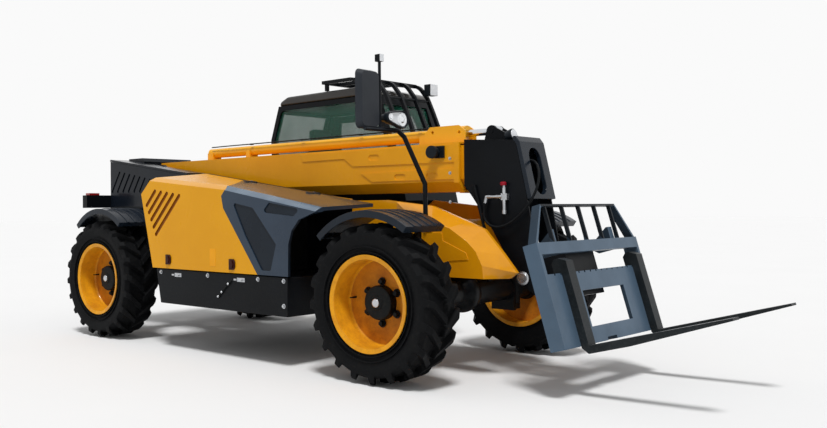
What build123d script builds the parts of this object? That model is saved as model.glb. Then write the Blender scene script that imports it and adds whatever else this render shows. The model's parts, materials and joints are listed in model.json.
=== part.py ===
"""Telehandler: rigid-frame machine with a telescopic boom, fork carriage, side engine and left cab.

Millimetres. +X is forward, +Y is the machine's left, +Z is up. The origin is on the ground,
midway between the back of the rear bar and the fork tips, on the machine's centre line.
Points written (x, z) are in the side view; x is counted from the named axle or pin.
"""
import math
import os

from build123d import *

os.makedirs("parts", exist_ok=True)

# ---------------------------------------------------------------- driving dimensions
wheelbase = 3300.0
tyre_radius = 546.0           # to the lugs' tips, which stand on the ground
tread_depth = 40.0            # lug tip above the casing at the tyre's middle
lug_count = 20                # on each side of the tyre's middle
lug_width = 46.0              # at the tip
tyre_width = 350.0
rim_radius = 332.0            # rim flange
rim_width = 330.0
rim_wall = 14.0
hub_radius = 117.0
kingpin_half_track = 720.0    # centre line to a steering pin
kingpin_offset = 220.0        # steering pin to the tyre's middle plane
half_track = kingpin_half_track + kingpin_offset
rear_overhang = 680.0         # rear axle to the back of the rear bar

frame_inner = 280.0           # centre line to the inner face of a frame plate
frame_plate = 30.0
cowl_half_width = 455.0
frame_floor = 450.0           # underside of the belly
over_axle = 700.0             # underside of the frame above both axles

body_half_width = 1080.0      # outer plane of the engine hood, skirt and cab
skirt_bottom = 390.0
hood_bottom = 690.0
shell = 24.0                  # wall of the hood
hinge_y = 440.0               # hood hinge line, from the centre line

boom_top = 1670.0
boom_bottom = 1305.0
boom_half_width = 180.0
boom_wall = 12.0
boom_gap = 13.0               # room for the slide pads between the two booms
boom_cant = 75.0              # corner folded off the boom's lower edges
boom_pivot_z = 1500.0
boom_pivot_back = 100.0       # pivot behind the rear axle
boom_front = 120.0            # outer boom's mouth ahead of the front axle
boom_patch = 6.0              # thickness of the stiffening plates on the boom's sides
boom_tail = 115.0             # outer boom behind its pivot
boom_stroke = 2400.0

head_plate = 12.0
tilt_pivot_ahead = 650.0      # ahead of the front axle
tilt_pivot_z = 700.0
tilt_back = 16.0              # degrees the fork carriage leans back at rest

fork_spacing = 1000.0         # between the blades' middles
fork_shift = 50.0             # both forks stand this far to the left of the middle
fork_width = 90.0
fork_blade = 860.0            # blade ahead of the shank's front face
fork_thick = 50.0
blade_tip = 16.0              # thickness of a blade at its tip, its upper face straight
carriage_half_width = 695.0
frame_face = 437.0            # fork frame's front face ahead of the tilt pivot
blade_drop = 568.0            # underside of the blades below the tilt pivot

cab_inner = 330.0             # cab's right wall, from the centre line
cab_wall = 40.0
window_frame = 45.0           # left round the cab's right window
door_hinge_out = 12.0         # door's hinge line outside the cab's outer plane
cab_glass_thick = 6.0
roof_z = 2270.0
clear = 5.0                   # between pieces that move past each other

# ---------------------------------------------------------------- places worked out
lean = math.radians(tilt_back)
shank_face = frame_face + fork_thick
tip_reach = ((shank_face + fork_blade) * math.cos(lean)
             + (blade_drop - fork_thick + blade_tip) * math.sin(lean))
front_overhang = tilt_pivot_ahead + tip_reach
x_front = (rear_overhang + wheelbase - front_overhang) / 2
x_rear = x_front - wheelbase
x_mid = x_front - wheelbase / 2
x_tilt = x_front + tilt_pivot_ahead
x_pivot = x_rear - boom_pivot_back
wheel_z = tyre_radius
inner_half_width = boom_half_width - boom_wall - boom_gap
head_half_width = inner_half_width + head_plate

# side, front or rear, x of the axle, +1 left or -1 right
wheels = [
    ("front_left", x_front, 1),
    ("front_right", x_front, -1),
    ("rear_left", x_rear, 1),
    ("rear_right", x_rear, -1),
]


def side_plane(y):
    """Side view at this y: sketch x is forward, sketch y is up, extrude goes to the right."""
    return Plane.XZ.offset(-y)


def shifted(points, dx, dz=0.0):
    """The same (x, z) points counted from another place."""
    return [(x + dx, z + dz) for x, z in points]


def save(piece, name):
    piece.label = name
    export_step(piece, f"parts/{name}.step")


# ---------------------------------------------------------------- chassis
# top edge of the nose from its front upwards: x from the front axle, height above the frame's underside
nose_top = shifted([(600, 0), (660, 42), (560, 165), (410, 335), (280, 387), (-30, 502)], x_front, over_axle)
frame_outline = [
    *shifted([(-440, 1225), (-440, 760), (-300, over_axle), (350, over_axle)], x_rear),
    *shifted([(-1050, frame_floor), (950, frame_floor)], x_mid),
    (x_front - 500, over_axle),
    *nose_top,
    (x_front - 450, 1250),
    *shifted([(500, 1250), (60, 1600), (-10, 1640), (-220, 1640), (-260, 1560), (-260, 1225)], x_rear),
]
nose_outline = [(x_front - 360, over_axle), *nose_top, (x_front - 360, over_axle + 535)]
cowl_outline = shifted(
    [(-100, 0), (490, 0), (480, 90), (430, 186), (359, 255), (215, 345), (60, 390), (-100, 410)],
    x_front, over_axle)
cowl_panel = shifted(
    [(-60, 20), (-60, 312), (155, 312), (165, 255), (355, 175), (372, 128), (200, 112), (190, 20)],
    x_front, over_axle)
lift_foot = (x_rear + 450.0, 700.0)
lift_eye = (x_mid, 1150.0)
hinge_barrel = 10.0
hinge_length = 40.0
hinge_tab = 80.0              # leaf of a hinge on the hood's top
seam_slant = 0.786            # how far the seam between the hood's panels runs back towards the hinges
seam_top = x_mid + 187.0      # the seam at the hood's outer edge
seam_at_tab = seam_top - seam_slant * (body_half_width - hinge_y - hinge_tab)
hinge_places = (seam_at_tab + hinge_length + 33.0, x_mid + 570.0)
hood_rear = x_mid - 990.0
hood_front = x_mid + 1165.0
hinge_rear_z = 1545.0
hinge_front_z = 1225.0


def hinge_line(x, drop):
    """Side-view point on the hood's hinge line at this x, lowered by the drop."""
    share = (x - hood_rear) / (hood_front - hood_rear)
    return (x, hinge_rear_z + share * (hinge_front_z - hinge_rear_z) - drop)


def hinge_plane(x):
    """Plane square to the hood's hinge line at this x."""
    return Plane(origin=(x, -hinge_y, hinge_line(x, 0)[1]), x_dir=(0, 1, 0),
                 z_dir=(hood_front - hood_rear, 0, hinge_front_z - hinge_rear_z))


with BuildPart() as chassis_frame:
    for side in (1, -1):
        inner = frame_inner if side == 1 else -frame_inner - frame_plate
        with BuildSketch(side_plane(inner + frame_plate)):
            Polygon(*frame_outline, align=None)
        extrude(amount=frame_plate)
        # nose cheek, drawn in towards the outside
        for y, outline in ((frame_inner + frame_plate, nose_outline), (cowl_half_width, cowl_outline)):
            with BuildSketch(side_plane(side * y)):
                Polygon(*outline, align=None)
        loft(ruled=True)
        with BuildSketch(side_plane(side * cowl_half_width)):
            Polygon(*cowl_panel, align=None)
        extrude(amount=-side * 5)
    # cross members: x, length, z of the bottom, height
    for cx, length, low, high in [
        (x_front, 240, over_axle, 400),
        (x_mid + 850, 60, frame_floor, 500),
        (x_mid - 350, 60, frame_floor, 260),
        (x_rear + 330, 60, over_axle, 300),
        (x_rear - 330, 60, 760, 420),
    ]:
        with Locations((cx, 0, low + high / 2)):
            Box(length, 2 * frame_inner, high)
    with Locations((x_mid - 50, 0, frame_floor + 10)):
        Box(1800, 2 * frame_inner, 20)
    # outriggers that carry the engine side and the cab
    for cx in (x_mid - 620, x_mid + 700):
        with Locations((cx, 0, frame_floor + 90)):
            Box(80, 2 * body_half_width - 120, 100)
    with Locations((x_mid + 40, 0, frame_floor + 90)):
        Box(80, 2 * frame_inner, 100)
    # deck beside the boom pivot, over the rear wheels
    for side in (1, -1):
        with Locations((x_rear + 35, side * (frame_inner + 150), 1215)):
            Box(1270, 240, 20)
    # engine bay's inner wall and the rail under the hood's hinges
    wall_ends = (hood_rear + 60, hood_front - 320)
    with BuildSketch(side_plane(-frame_inner - frame_plate)):
        Polygon(hinge_line(wall_ends[0], 8), hinge_line(wall_ends[1], 8), (wall_ends[1], 1200),
                (wall_ends[0], 1200), align=None)
    extrude(amount=20)
    with BuildSketch(side_plane(-frame_inner - frame_plate)):
        Polygon(hinge_line(wall_ends[0], 8), hinge_line(wall_ends[1], 8), hinge_line(wall_ends[1], 24),
                hinge_line(wall_ends[0], 24), align=None)
    extrude(amount=hinge_y - 20 - frame_inner - frame_plate)
    # chassis halves of the hood's hinges
    for x in hinge_places:
        with BuildSketch(hinge_plane(x + 2)):
            Circle(hinge_barrel)
            with Locations((25, -10)):
                Rectangle(50, 14)
        extrude(amount=hinge_length)
    # lift cylinder foot lugs on the belly plate
    for side in (1, -1):
        with BuildSketch(side_plane(side * 90 + 12)):
            with Locations(lift_foot):
                Circle(60)
            Polygon((lift_foot[0] - 60, lift_foot[1]), (lift_foot[0] + 60, lift_foot[1]),
                    (lift_foot[0] + 100, lift_foot[1] - 90), (lift_foot[0] - 60, lift_foot[1] - 90), align=None)
        extrude(amount=24)
    with Locations((lift_foot[0] + 20, 0, lift_foot[1] - 85)):
        Box(160, 2 * frame_inner, 30)
    with Locations((lift_foot[0], 0, lift_foot[1])):
        Cylinder(28, 240, rotation=(90, 0, 0))
    with Locations((x_pivot, 0, boom_pivot_z)):
        Cylinder(40, 2 * (frame_inner + frame_plate), rotation=(90, 0, 0))
save(chassis_frame.part, "chassis_frame")

with BuildPart() as rear_bumper:
    with Locations((x_rear - rear_overhang + 40, 0, 1280)):
        Box(80, 1660, 128)
    with Locations((x_rear - rear_overhang + 140, 0, 982.5)):
        Box(200, 900, 445)
    with Locations((x_rear - rear_overhang + 58, 0, 1210)):
        Box(36, 900, 14)
save(rear_bumper.part, "rear_bumper")

# ---------------------------------------------------------------- axles, knuckles, wheels
tube_radius = 100.0
ear_gap = 135.0
ear_thick = 40.0
spindle_end = half_track - 65.0
spindle_reach = spindle_end - kingpin_half_track
knuckle_radius = 0.387 * spindle_reach
for name, cx in (("front_axle", x_front), ("rear_axle", x_rear)):
    with BuildPart() as axle:
        with Locations((cx, 0, wheel_z)):
            Cylinder(tube_radius, 2 * (kingpin_half_track - 120), rotation=(90, 0, 0))
            Sphere(150)
        for side in (1, -1):
            with Locations((cx, side * (kingpin_half_track - 130), wheel_z)):
                Box(2 * tube_radius, 40, 2 * (ear_gap + ear_thick))
            for level in (1, -1):
                with BuildSketch(Plane.XY.offset(wheel_z + level * (ear_gap + ear_thick / 2))):
                    with Locations((cx, side * kingpin_half_track)):
                        Circle(knuckle_radius)
                    with Locations((cx, side * (kingpin_half_track - 65))):
                        Rectangle(2 * knuckle_radius, 130)
                extrude(amount=ear_thick / 2, both=True)
            # pad under the frame plate
            with Locations((cx, side * (frame_inner + frame_plate / 2), (wheel_z + over_axle) / 2)):
                Box(140, 2 * frame_plate, over_axle - wheel_z)
        # steering cylinder behind the tube
        with Locations((cx - 145, 0, wheel_z)):
            Cylinder(36, 520, rotation=(90, 0, 0))
        for y in (-170, 170):
            with Locations((cx - 100, y, wheel_z)):
                Box(100, 24, 60)
    save(axle.part, name)

# mudguard of each axle: ahead of the axle, above it, inner radius, first and last degree from forward
fender_arcs = {
    "front": (0.0, 0.0, tyre_radius + 72.0, 56.0, 134.0),
    "rear": (60.0, 110.0, tyre_radius - 8.0, 50.0, 134.0),
}
fender_lip = 48.0
stay_thick = 28.0             # stay that carries the mudguard
stay_room = 37.0              # from the stay to the tyre's wall
fender_inner = half_track - tyre_width / 2 - stay_room - stay_thick
fender_outer = half_track + tyre_width / 2 + 5.0
fender_thick = 12.0


def fender_arc(centre, profile, first, last):
    """Mudguard piece: (y, radius) points turned round the arc's centre from one angle to another."""
    a = math.radians(last)
    with BuildSketch(Plane(origin=centre, x_dir=(0, 1, 0), z_dir=(math.sin(a), 0, -math.cos(a)))) as cut:
        Polygon(*profile, align=None)
    revolve(cut.sketch, axis=Axis(centre, (0, 1, 0)), revolution_arc=last - first)


tip_half_angle = math.degrees(math.asin(lug_width / 2 / tyre_radius))
# half tyre from the middle outwards: y, radius over a lug, radius between lugs, degrees of twist
tread_rings = [
    (0.0, tyre_radius / math.cos(math.radians(tip_half_angle)), tyre_radius - tread_depth, 0.0),
    (tyre_width / 2 - 40, tyre_radius - 5, tyre_radius - tread_depth - 6, 12.0),
    (tyre_width / 2 - 3, tyre_radius - 31, tyre_radius - tread_depth - 28, 14.0),
]
tyre_bead = rim_width / 2 - 23
tyre_bore = (rim_radius - 20.0) / math.cos(math.pi / 2 / lug_count) + 0.3
# side wall: y, radius
wall_rings = [(tyre_width / 2, tyre_radius - 101), (tyre_bead, rim_radius), (tyre_bead, tyre_bore)]
lug_pitch = 360.0 / lug_count


def tread_point(y, radius, degrees):
    turn = math.radians(degrees)
    return (radius * math.cos(turn), y, radius * math.sin(turn))


def tread_row(side, ring, pitch):
    """A lug's four edge points in one ring: casing, tip, tip, casing."""
    y, over, between, twist = ring
    middle = (pitch + (0.5 if side < 0 else 0.0)) * lug_pitch + twist
    foot = tip_half_angle + 1.2
    return [tread_point(side * y, between, middle - foot), tread_point(side * y, over, middle - tip_half_angle),
            tread_point(side * y, over, middle + tip_half_angle), tread_point(side * y, between, middle + foot)]


def wall_row(side, ring, pitch):
    """The two side-wall points of one pitch: under the lug, under the gap."""
    y, radius = ring
    middle = (pitch + (0.5 if side < 0 else 0.0)) * lug_pitch + tread_rings[-1][3]
    return [tread_point(side * y, radius, middle), tread_point(side * y, radius, middle + lug_pitch / 2)]


def quad(a, b, c, d):
    return [(a, b, c), (a, c, d)]


def tyre_triangles():
    """Triangles of a whole tyre round the origin, with its lugs."""
    found = []
    for side in (1, -1):
        for pitch in range(lug_count):
            rows = [tread_row(side, ring, pitch) for ring in tread_rings]
            after = [tread_row(side, ring, pitch + 1) for ring in tread_rings]
            for inner, outer in ((0, 1), (1, 2)):
                for i in range(3):
                    found += quad(rows[inner][i], rows[inner][i + 1], rows[outer][i + 1], rows[outer][i])
            # casing between this lug and the next; at the middle it also passes under the other side's lug
            far = tread_row(-side, tread_rings[0], pitch if side > 0 else pitch + 1)
            chain = [rows[0][3], far[0], far[3], after[0][0]]
            found += [(chain[0], chain[1], rows[1][3]), (chain[1], chain[2], rows[1][3]),
                      (chain[2], chain[3], rows[1][3]), (chain[3], after[1][0], rows[1][3])]
            found += quad(rows[1][3], after[1][0], after[2][0], rows[2][3])
            # lug's end at the middle, and its shoulder down to the side wall
            found += quad(*rows[0])
            under, gap = wall_row(side, wall_rings[0], pitch)
            under_next = wall_row(side, wall_rings[0], pitch + 1)[0]
            edge = rows[2]
            found += [(edge[0], edge[1], under), (edge[1], edge[2], under), (edge[2], edge[3], under),
                      (edge[3], gap, under), (edge[3], after[2][0], gap), (after[2][0], under_next, gap)]
            for upper, lower in zip(wall_rings, wall_rings[1:]):
                one, two = wall_row(side, upper, pitch), wall_row(side, lower, pitch)
                three, four = wall_row(side, upper, pitch + 1), wall_row(side, lower, pitch + 1)
                found += quad(one[0], one[1], two[1], two[0]) + quad(one[1], three[0], four[0], two[1])
    bore = [point for pitch in range(lug_count) for point in wall_row(1, wall_rings[-1], pitch)]
    for (x, y, z), (x2, _, z2) in zip(bore, bore[1:] + bore[:1]):
        found += quad((x, y, z), (x2, y, z2), (x2, -y, z2), (x, -y, z))
    return found


def triangle_face(points):
    return Face(Wire.make_polygon(points, close=True))


tyre_solid = Solid(Shell([triangle_face(points) for points in tyre_triangles()]))
for name, cx, side in wheels:
    arc_ahead, arc_up, arc_radius, first, last = fender_arcs[name.split("_")[0]]
    with BuildPart() as knuckle:
        with Locations((cx, side * kingpin_half_track, wheel_z)):
            Cylinder(knuckle_radius, 2 * (ear_gap - clear))
        with BuildSketch(side_plane(side * kingpin_half_track)):
            with Locations((cx, wheel_z)):
                Circle(95)
        extrude(amount=-side * (spindle_end - kingpin_half_track))
        # stay that carries the mudguard, inboard of the tyre, and its bracket beyond the axle's ears
        with BuildSketch(side_plane(side * (fender_inner + stay_thick / 2))):
            with Locations((cx, wheel_z + (arc_radius + arc_up + 190) / 2)):
                Rectangle(60, arc_radius + arc_up - 190)
            with Locations((cx + arc_ahead, wheel_z + arc_up)):
                Circle(arc_radius, mode=Mode.INTERSECT)
        extrude(amount=stay_thick / 2, both=True)
        bracket_end = kingpin_half_track + 0.71 * spindle_reach
        bracket_thick = 0.194 * spindle_reach
        with Locations((cx, side * (fender_inner + bracket_end) / 2, wheel_z + 200)):
            Box(60, bracket_end - fender_inner, 40)
        with Locations((cx, side * (bracket_end - bracket_thick / 2), wheel_z + 155)):
            Box(60, bracket_thick, 130)
    save(knuckle.part, f"knuckle_{name}")

    arc_centre = (cx + arc_ahead, 0, wheel_z + arc_up)
    outer = arc_radius + fender_thick
    # (distance from the inner edge, radius): ribs along the top, then the outer lip
    section = [(0, arc_radius), (0, outer)]
    for i in range(4):
        rib = 70 + 80 * i
        section += [(rib, outer), (rib, outer + 6), (rib + 26, outer + 6), (rib + 26, outer)]
    across_top = fender_outer - fender_inner
    section += [(across_top, outer), (across_top, outer - fender_lip),
                (across_top - fender_thick, outer - fender_lip), (across_top - fender_thick, arc_radius)]
    with BuildPart() as fender:
        fender_arc(arc_centre, [(side * (fender_inner + t), r) for t, r in section], first, last)
        # lips down at both ends
        for end, deep in ((first + 1.1, fender_lip), (last, 0.7 * fender_lip)):
            lip_section = [(0, outer - deep), (0, outer - 6), (across_top, outer - 6), (across_top, outer - deep)]
            fender_arc(arc_centre, [(side * (fender_inner + t), r) for t, r in lip_section], end - 1.1, end)
    save(fender.part, f"fender_{name}")

    centre = (cx, side * half_track, wheel_z)
    wheel_section = Plane(origin=centre, x_dir=(0, 1, 0), z_dir=(1, 0, 0))
    wheel_axis = Axis(centre, (0, 1, 0))
    with BuildPart() as tyre:
        with Locations(centre):
            add(tyre_solid)
    save(tyre.part, f"tyre_{name}")

    barrel = rim_radius - 20.0
    lip = rim_width / 2
    with BuildPart() as rim:
        with BuildSketch(wheel_section):
            Polygon(*[(side * y, r) for y, r in [
                (-lip, rim_radius), (-lip, barrel - rim_wall), (-40, barrel - rim_wall),
                (-30, hub_radius), (-64, hub_radius - 10), (-64, 0), (28, 0), (28, 40), (15, 45),
                (12, hub_radius - 12), (0, hub_radius), (-18, hub_radius + 2),
                (-18, barrel - rim_wall - 10), (0, barrel - rim_wall), (lip - 10, barrel - rim_wall),
                (lip, rim_radius), (lip - 12, rim_radius), (lip - 22, barrel), (-lip + 22, barrel),
                (-lip + 12, rim_radius)]], align=None)
        revolve(axis=wheel_axis)
    save(rim.part, f"rim_{name}")

# ---------------------------------------------------------------- engine side
# section of the hood: x, z of the side's top
hood_ribs = [(hood_rear, 1460.0), (x_mid + 160.0, 1345.0), (hood_front, 1170.0)]
shoulder_in, shoulder_up = 70.0, 30.0
hood_side = shifted(
    [(-790, hood_bottom), (885, hood_bottom), (890, 930), (925, 1030), (1000, 1110), (1165, 1165),
     (1165, 1700), (-830, 1700), (-830, 1440), (-955, 1330)], x_mid)
# recesses pressed in the hood's outer face, x from the middle of the wheelbase
front_recess = [(270, 1243), (505, 1200), (760, 925), (700, 725), (600, 725), (415, 985)]
slot_recess = [(610, 1165), (685, 1238), (1015, 1188), (945, 1135)]
louvre_width = 34.0


def hood_section(x, side_top, wall):
    """Cross-section points (y, z) of the hood at this x, drawn in by the wall."""
    outer = -body_half_width + wall
    top = hinge_line(x, 1.1 * wall)[1]
    return [
        (-hinge_y, top), (-hinge_y, hood_bottom - 200), (outer, hood_bottom - 200), (outer, side_top - wall),
        (outer + shoulder_in, side_top + shoulder_up - 1.1 * wall),
    ]


with BuildPart() as hood:
    for wall, mode in ((0.0, Mode.ADD), (shell, Mode.SUBTRACT)):
        for x, side_top in hood_ribs:
            with BuildSketch(Plane(origin=(x, 0, 0), x_dir=(0, 1, 0), z_dir=(1, 0, 0))):
                Polygon(*hood_section(x, side_top, wall), align=None)
        loft(ruled=True, mode=mode)
    with BuildSketch(side_plane(0)):
        Polygon(*hood_side, align=None)
    extrude(amount=body_half_width + 10, mode=Mode.INTERSECT)
# hinge halves on the hood, and room for the chassis halves
with BuildPart() as hood_fitted:
    add(hood.part)
    for x in hinge_places:
        with BuildSketch(hinge_plane(x)):
            with Locations((-6, 0)):
                Rectangle(14, 60)
        extrude(amount=hinge_length + 4, mode=Mode.SUBTRACT)
        with BuildSketch(hinge_plane(x - hinge_length)):
            Circle(hinge_barrel)
            with Locations((-hinge_tab / 2, 4)):
                Rectangle(hinge_tab, 8)
        extrude(amount=hinge_length)
    for outline, deep in ((front_recess, 9.0), (slot_recess, 9.0)):
        with BuildSketch(side_plane(-body_half_width + deep)) as recess:
            Polygon(*shifted(outline, x_mid), align=None)
            fillet(recess.vertices(), radius=18)
        extrude(amount=2 * deep, mode=Mode.SUBTRACT)
    # slanted louvres in the rear corner, longer towards the front
    for i in range(5):
        with BuildSketch(side_plane(-body_half_width + 12)):
            with Locations(Location((x_mid - 810 + 59 * i, 1291 - 37 * i, 0), (0, 0, 45))):
                SlotOverall(205 + 73 * i, louvre_width)
        extrude(amount=24, mode=Mode.SUBTRACT)
# the front panel's outline on the outer face, x from the top of its seam
panel_outline = [(0, 1700), (0, 1352), (-52, 1297), (-29, 1199), (366, hood_bottom), (366, 600),
                 (1713, 600), (1713, 1700)]
with BuildPart() as hood_front_panel:
    for y in (-body_half_width - 10, -hinge_y + 30):
        with BuildSketch(side_plane(y)):
            Polygon(*shifted(panel_outline, seam_top - seam_slant * (y + body_half_width)), align=None)
    loft(ruled=True)
    add(hood_fitted.part, mode=Mode.INTERSECT)
save(hood_front_panel.part, "hood_front_panel")
with BuildPart() as hood_cover:
    add(hood_fitted.part)
    add(hood_front_panel.part, mode=Mode.SUBTRACT)
save(hood_cover.part, "hood_cover")

with BuildPart() as engine_block:
    with Locations((x_mid - 100, -(frame_inner + frame_plate + 320), hood_bottom - 8 + 240)):
        Box(900, 620, 480)
save(engine_block.part, "engine_block")

with BuildPart() as side_skirt:
    with BuildSketch(side_plane(-frame_inner - frame_plate - 120)):
        Polygon(*shifted([(-690, skirt_bottom), (866, skirt_bottom), (870, hood_bottom - 8),
                          (-750, hood_bottom - 8)], x_mid), align=None)
    extrude(amount=body_half_width - frame_inner - frame_plate - 130)
    with BuildSketch(side_plane(-frame_inner - frame_plate)):
        Polygon(*shifted([(-650, skirt_bottom + 250), (830, skirt_bottom + 250), (830, hood_bottom - 8),
                          (-650, hood_bottom - 8)], x_mid), align=None)
    extrude(amount=130)
    with BuildSketch(side_plane(-frame_inner - frame_plate)):
        for cx in (x_mid - 620, x_mid + 700):
            with Locations((cx, frame_floor + 90)):
                Rectangle(80, 100)
    extrude(amount=body_half_width - 60 - frame_inner - frame_plate, mode=Mode.SUBTRACT)
save(side_skirt.part, "side_skirt")

cover_side = [(-600, 1225), (660, 1225), (660, 1510), (-600, 1690)]
with BuildPart() as rear_cover:
    for inner in (-frame_inner - frame_plate - 5, frame_inner + frame_plate + 235):
        with BuildSketch(side_plane(inner)):
            Polygon(*shifted(cover_side, x_rear), align=None)
        extrude(amount=230)
    with BuildSketch(side_plane(frame_inner + frame_plate + 5)):
        Polygon(*shifted([(-600, 1225), (-330, 1225), (-330, 1690), (-360, 1725), (-600, 1725)], x_rear),
                align=None)
    extrude(amount=2 * (frame_inner + frame_plate + 5))
    # lid edge and slanted louvres on both sides
    for side in (1, -1):
        cover_outer = side * (frame_inner + frame_plate + 235)
        with BuildSketch(side_plane(cover_outer)):
            Polygon(*shifted([(-612, 1694), (672, 1511), (672, 1531), (-600, 1712)], x_rear), align=None)
        extrude(amount=side * 235)
        for i in range(8):
            with BuildSketch(side_plane(cover_outer)):
                with Locations(Location((x_rear - 500 + 92 * i, 1475 - 8 * i, 0), (0, 0, 55))):
                    SlotOverall(260 - 17 * i, 30)
            extrude(amount=side * 9, mode=Mode.SUBTRACT)
save(rear_cover.part, "rear_cover")

# ---------------------------------------------------------------- cab on the left
cab_outer = body_half_width
cab_rear = x_mid - 760.0
x_hinge = x_mid - 600.0
y_hinge = cab_outer + door_hinge_out
door_barrel = 12.0
door_hinges = (1000.0, 1960.0)
cab_outline = shifted(
    [(-720, 760), (860, 760), (900, 1000), (900, 1180), (850, 1400), (760, 1660), (655, 1930), (565, 2180),
     (-650, 2180), (-760, 1860)], x_mid)
door_outline = shifted([(-600, 850), (690, 850), (735, 1180), (700, 1500), (540, 1930), (460, 2120),
                        (-580, 2120)], x_mid)
door_window = shifted([(-520, 1260), (650, 1260), (630, 1490), (470, 1930), (410, 2050), (-505, 2050)], x_mid)
sill_z = 1420.0
cab_width = cab_outer - cab_inner


def cab_ring(outer, inner):
    """Open sketch: the cab's outline drawn in by one distance, less the same drawn in by another."""
    for inset, mode in ((outer, Mode.ADD), (inner, Mode.SUBTRACT)):
        with BuildSketch(Plane.XY, mode=Mode.PRIVATE) as drawn_in:
            Polygon(*cab_outline, align=None)
            if inset:
                offset(amount=-inset, kind=Kind.INTERSECTION)
        add(drawn_in.sketch, mode=mode)


def right_window():
    """Open sketch: the window in the cab's right wall."""
    with BuildSketch(Plane.XY, mode=Mode.PRIVATE) as window:
        Polygon(*cab_outline, align=None)
        offset(amount=-window_frame, kind=Kind.INTERSECTION)
        with Locations((x_mid, sill_z + 1000)):
            Rectangle(4000, 2000, mode=Mode.INTERSECT)
        fillet(window.vertices().group_by(Axis.Y)[-1], radius=60)
    add(window.sketch)


def end_windows():
    """Open sketch: side view of the windscreen's and the rear window's height and place."""
    Polygon(*shifted([(700, sill_z), (960, sill_z), (760, 2105), (450, 2105)], x_mid), align=None)
    with Locations((cab_rear, 1860)):
        Rectangle(260, 500)


with BuildPart() as cab_shell:
    with BuildSketch(side_plane(cab_outer)):
        Polygon(*cab_outline, align=None)
    extrude(amount=cab_width)
    with BuildSketch(side_plane(cab_outer - cab_wall)):
        Polygon(*cab_outline, align=None)
        offset(amount=-cab_wall, kind=Kind.INTERSECTION)
    extrude(amount=cab_width - 2 * cab_wall, mode=Mode.SUBTRACT)
    with BuildSketch(side_plane(cab_outer)):
        Polygon(*door_outline, align=None)
    extrude(amount=cab_wall, mode=Mode.SUBTRACT)
    with BuildSketch(side_plane(cab_inner + cab_wall)):
        right_window()
    extrude(amount=cab_wall, mode=Mode.SUBTRACT)
    with BuildSketch(side_plane(cab_outer - 60)):
        end_windows()
    extrude(amount=cab_width - 120, mode=Mode.SUBTRACT)
    # cab halves of the door's hinges: leaf on the pillar, barrels above and below the door's
    for z in door_hinges:
        with Locations((x_hinge - 37, cab_outer + 3, z)):
            Box(46, 6, 120)
        for low in (z - 60, z + 27):
            with Locations((x_hinge - 8, cab_outer + 6, low + 16.5)):
                Box(14, 12, 33)
            with Locations((x_hinge, y_hinge, low + 16.5)):
                Cylinder(door_barrel, 33)
save(cab_shell.part, "cab_shell")

with BuildPart() as cab_roof:
    with BuildSketch(side_plane(cab_outer)) as roof_sketch:
        Polygon(*shifted([(-650, 2180), (565, 2180), (530, 2230), (380, roof_z), (-100, roof_z),
                          (-540, roof_z - 5), (-630, 2225)], x_mid), align=None)
    extrude(amount=cab_width)
save(cab_roof.part, "cab_roof")

with BuildPart() as cab_door:
    with BuildSketch(side_plane(cab_outer)):
        Polygon(*door_outline, align=None)
        offset(amount=-clear)
        Polygon(*door_window, align=None, mode=Mode.SUBTRACT)
    extrude(amount=cab_wall)
    for z in door_hinges:
        with Locations((x_hinge + 32, cab_outer + 3, z)):
            Box(50, 6, 50)
        with Locations((x_hinge + 6, cab_outer + 6, z)):
            Box(12, 12, 50)
        with Locations((x_hinge, y_hinge, z)):
            Cylinder(door_barrel, 50)
    # handle below the window
    with Locations((x_mid + 560, cab_outer + 12, 1170)):
        Box(150, 24, 22)
save(cab_door.part, "cab_door")

with BuildPart() as door_glass:
    with BuildSketch(side_plane(cab_outer - 17)):
        Polygon(*door_window, align=None)
    extrude(amount=cab_glass_thick)
save(door_glass.part, "door_glass")

with BuildPart() as cab_glass:
    with BuildSketch(side_plane(cab_inner + cab_wall - 17)):
        right_window()
    extrude(amount=cab_glass_thick)
    with BuildSketch(side_plane(cab_outer - 60)):
        cab_ring(17, 17 + cab_glass_thick)
        with BuildSketch(Plane.XY, mode=Mode.PRIVATE) as height:
            end_windows()
        add(height.sketch, mode=Mode.INTERSECT)
    extrude(amount=cab_width - 120)
save(cab_glass.part, "cab_glass")

seat_y = (cab_inner + cab_outer) / 2
with BuildPart() as seat:
    with Locations((x_mid - 230, seat_y, 950)):
        Box(420, 400, 300)
    with Locations((x_mid - 200, seat_y, 1165)):
        Box(500, 500, 130)
    with BuildSketch(side_plane(seat_y + 240)):
        Polygon(*shifted([(-420, 1150), (-300, 1150), (-380, 1760), (-480, 1760)], x_mid), align=None)
    extrude(amount=480)
    with BuildSketch(side_plane(seat_y + 130)):
        Polygon(*shifted([(-480, 1760), (-400, 1760), (-420, 1960), (-500, 1960)], x_mid), align=None)
    extrude(amount=260)
save(seat.part, "seat")

wheel_tilt = Plane(origin=(x_mid + 270, seat_y, 1480), x_dir=(0, 1, 0), z_dir=(-0.5, 0, 0.866))
with BuildPart() as steering_column:
    with BuildSketch(wheel_tilt.offset(-35)):
        Circle(35)
    extrude(amount=60)
    with BuildSketch(side_plane(seat_y + 80)):
        Polygon(*shifted([(350, 800), (700, 800), (640, 1180), (330, 1500), (260, 1440), (330, 1350)], x_mid),
                align=None)
    extrude(amount=160)
    with BuildSketch(wheel_tilt.offset(10)):
        Circle(190)
        Circle(160, mode=Mode.SUBTRACT)
        Rectangle(340, 40)
    extrude(amount=25)
save(steering_column.part, "steering_column")

guard_bar = 30.0
guard_rear = [(-30, 2342), (300, 2340)]
guard_bend = [(602, 2288), (690, 2177), (752, 2039), (812, 1892), (852, 1760)]
guard_lamp_face = x_mid + 710.0
guard_ys = [cab_inner - 20 + i * 198 for i in range(4)]


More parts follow.
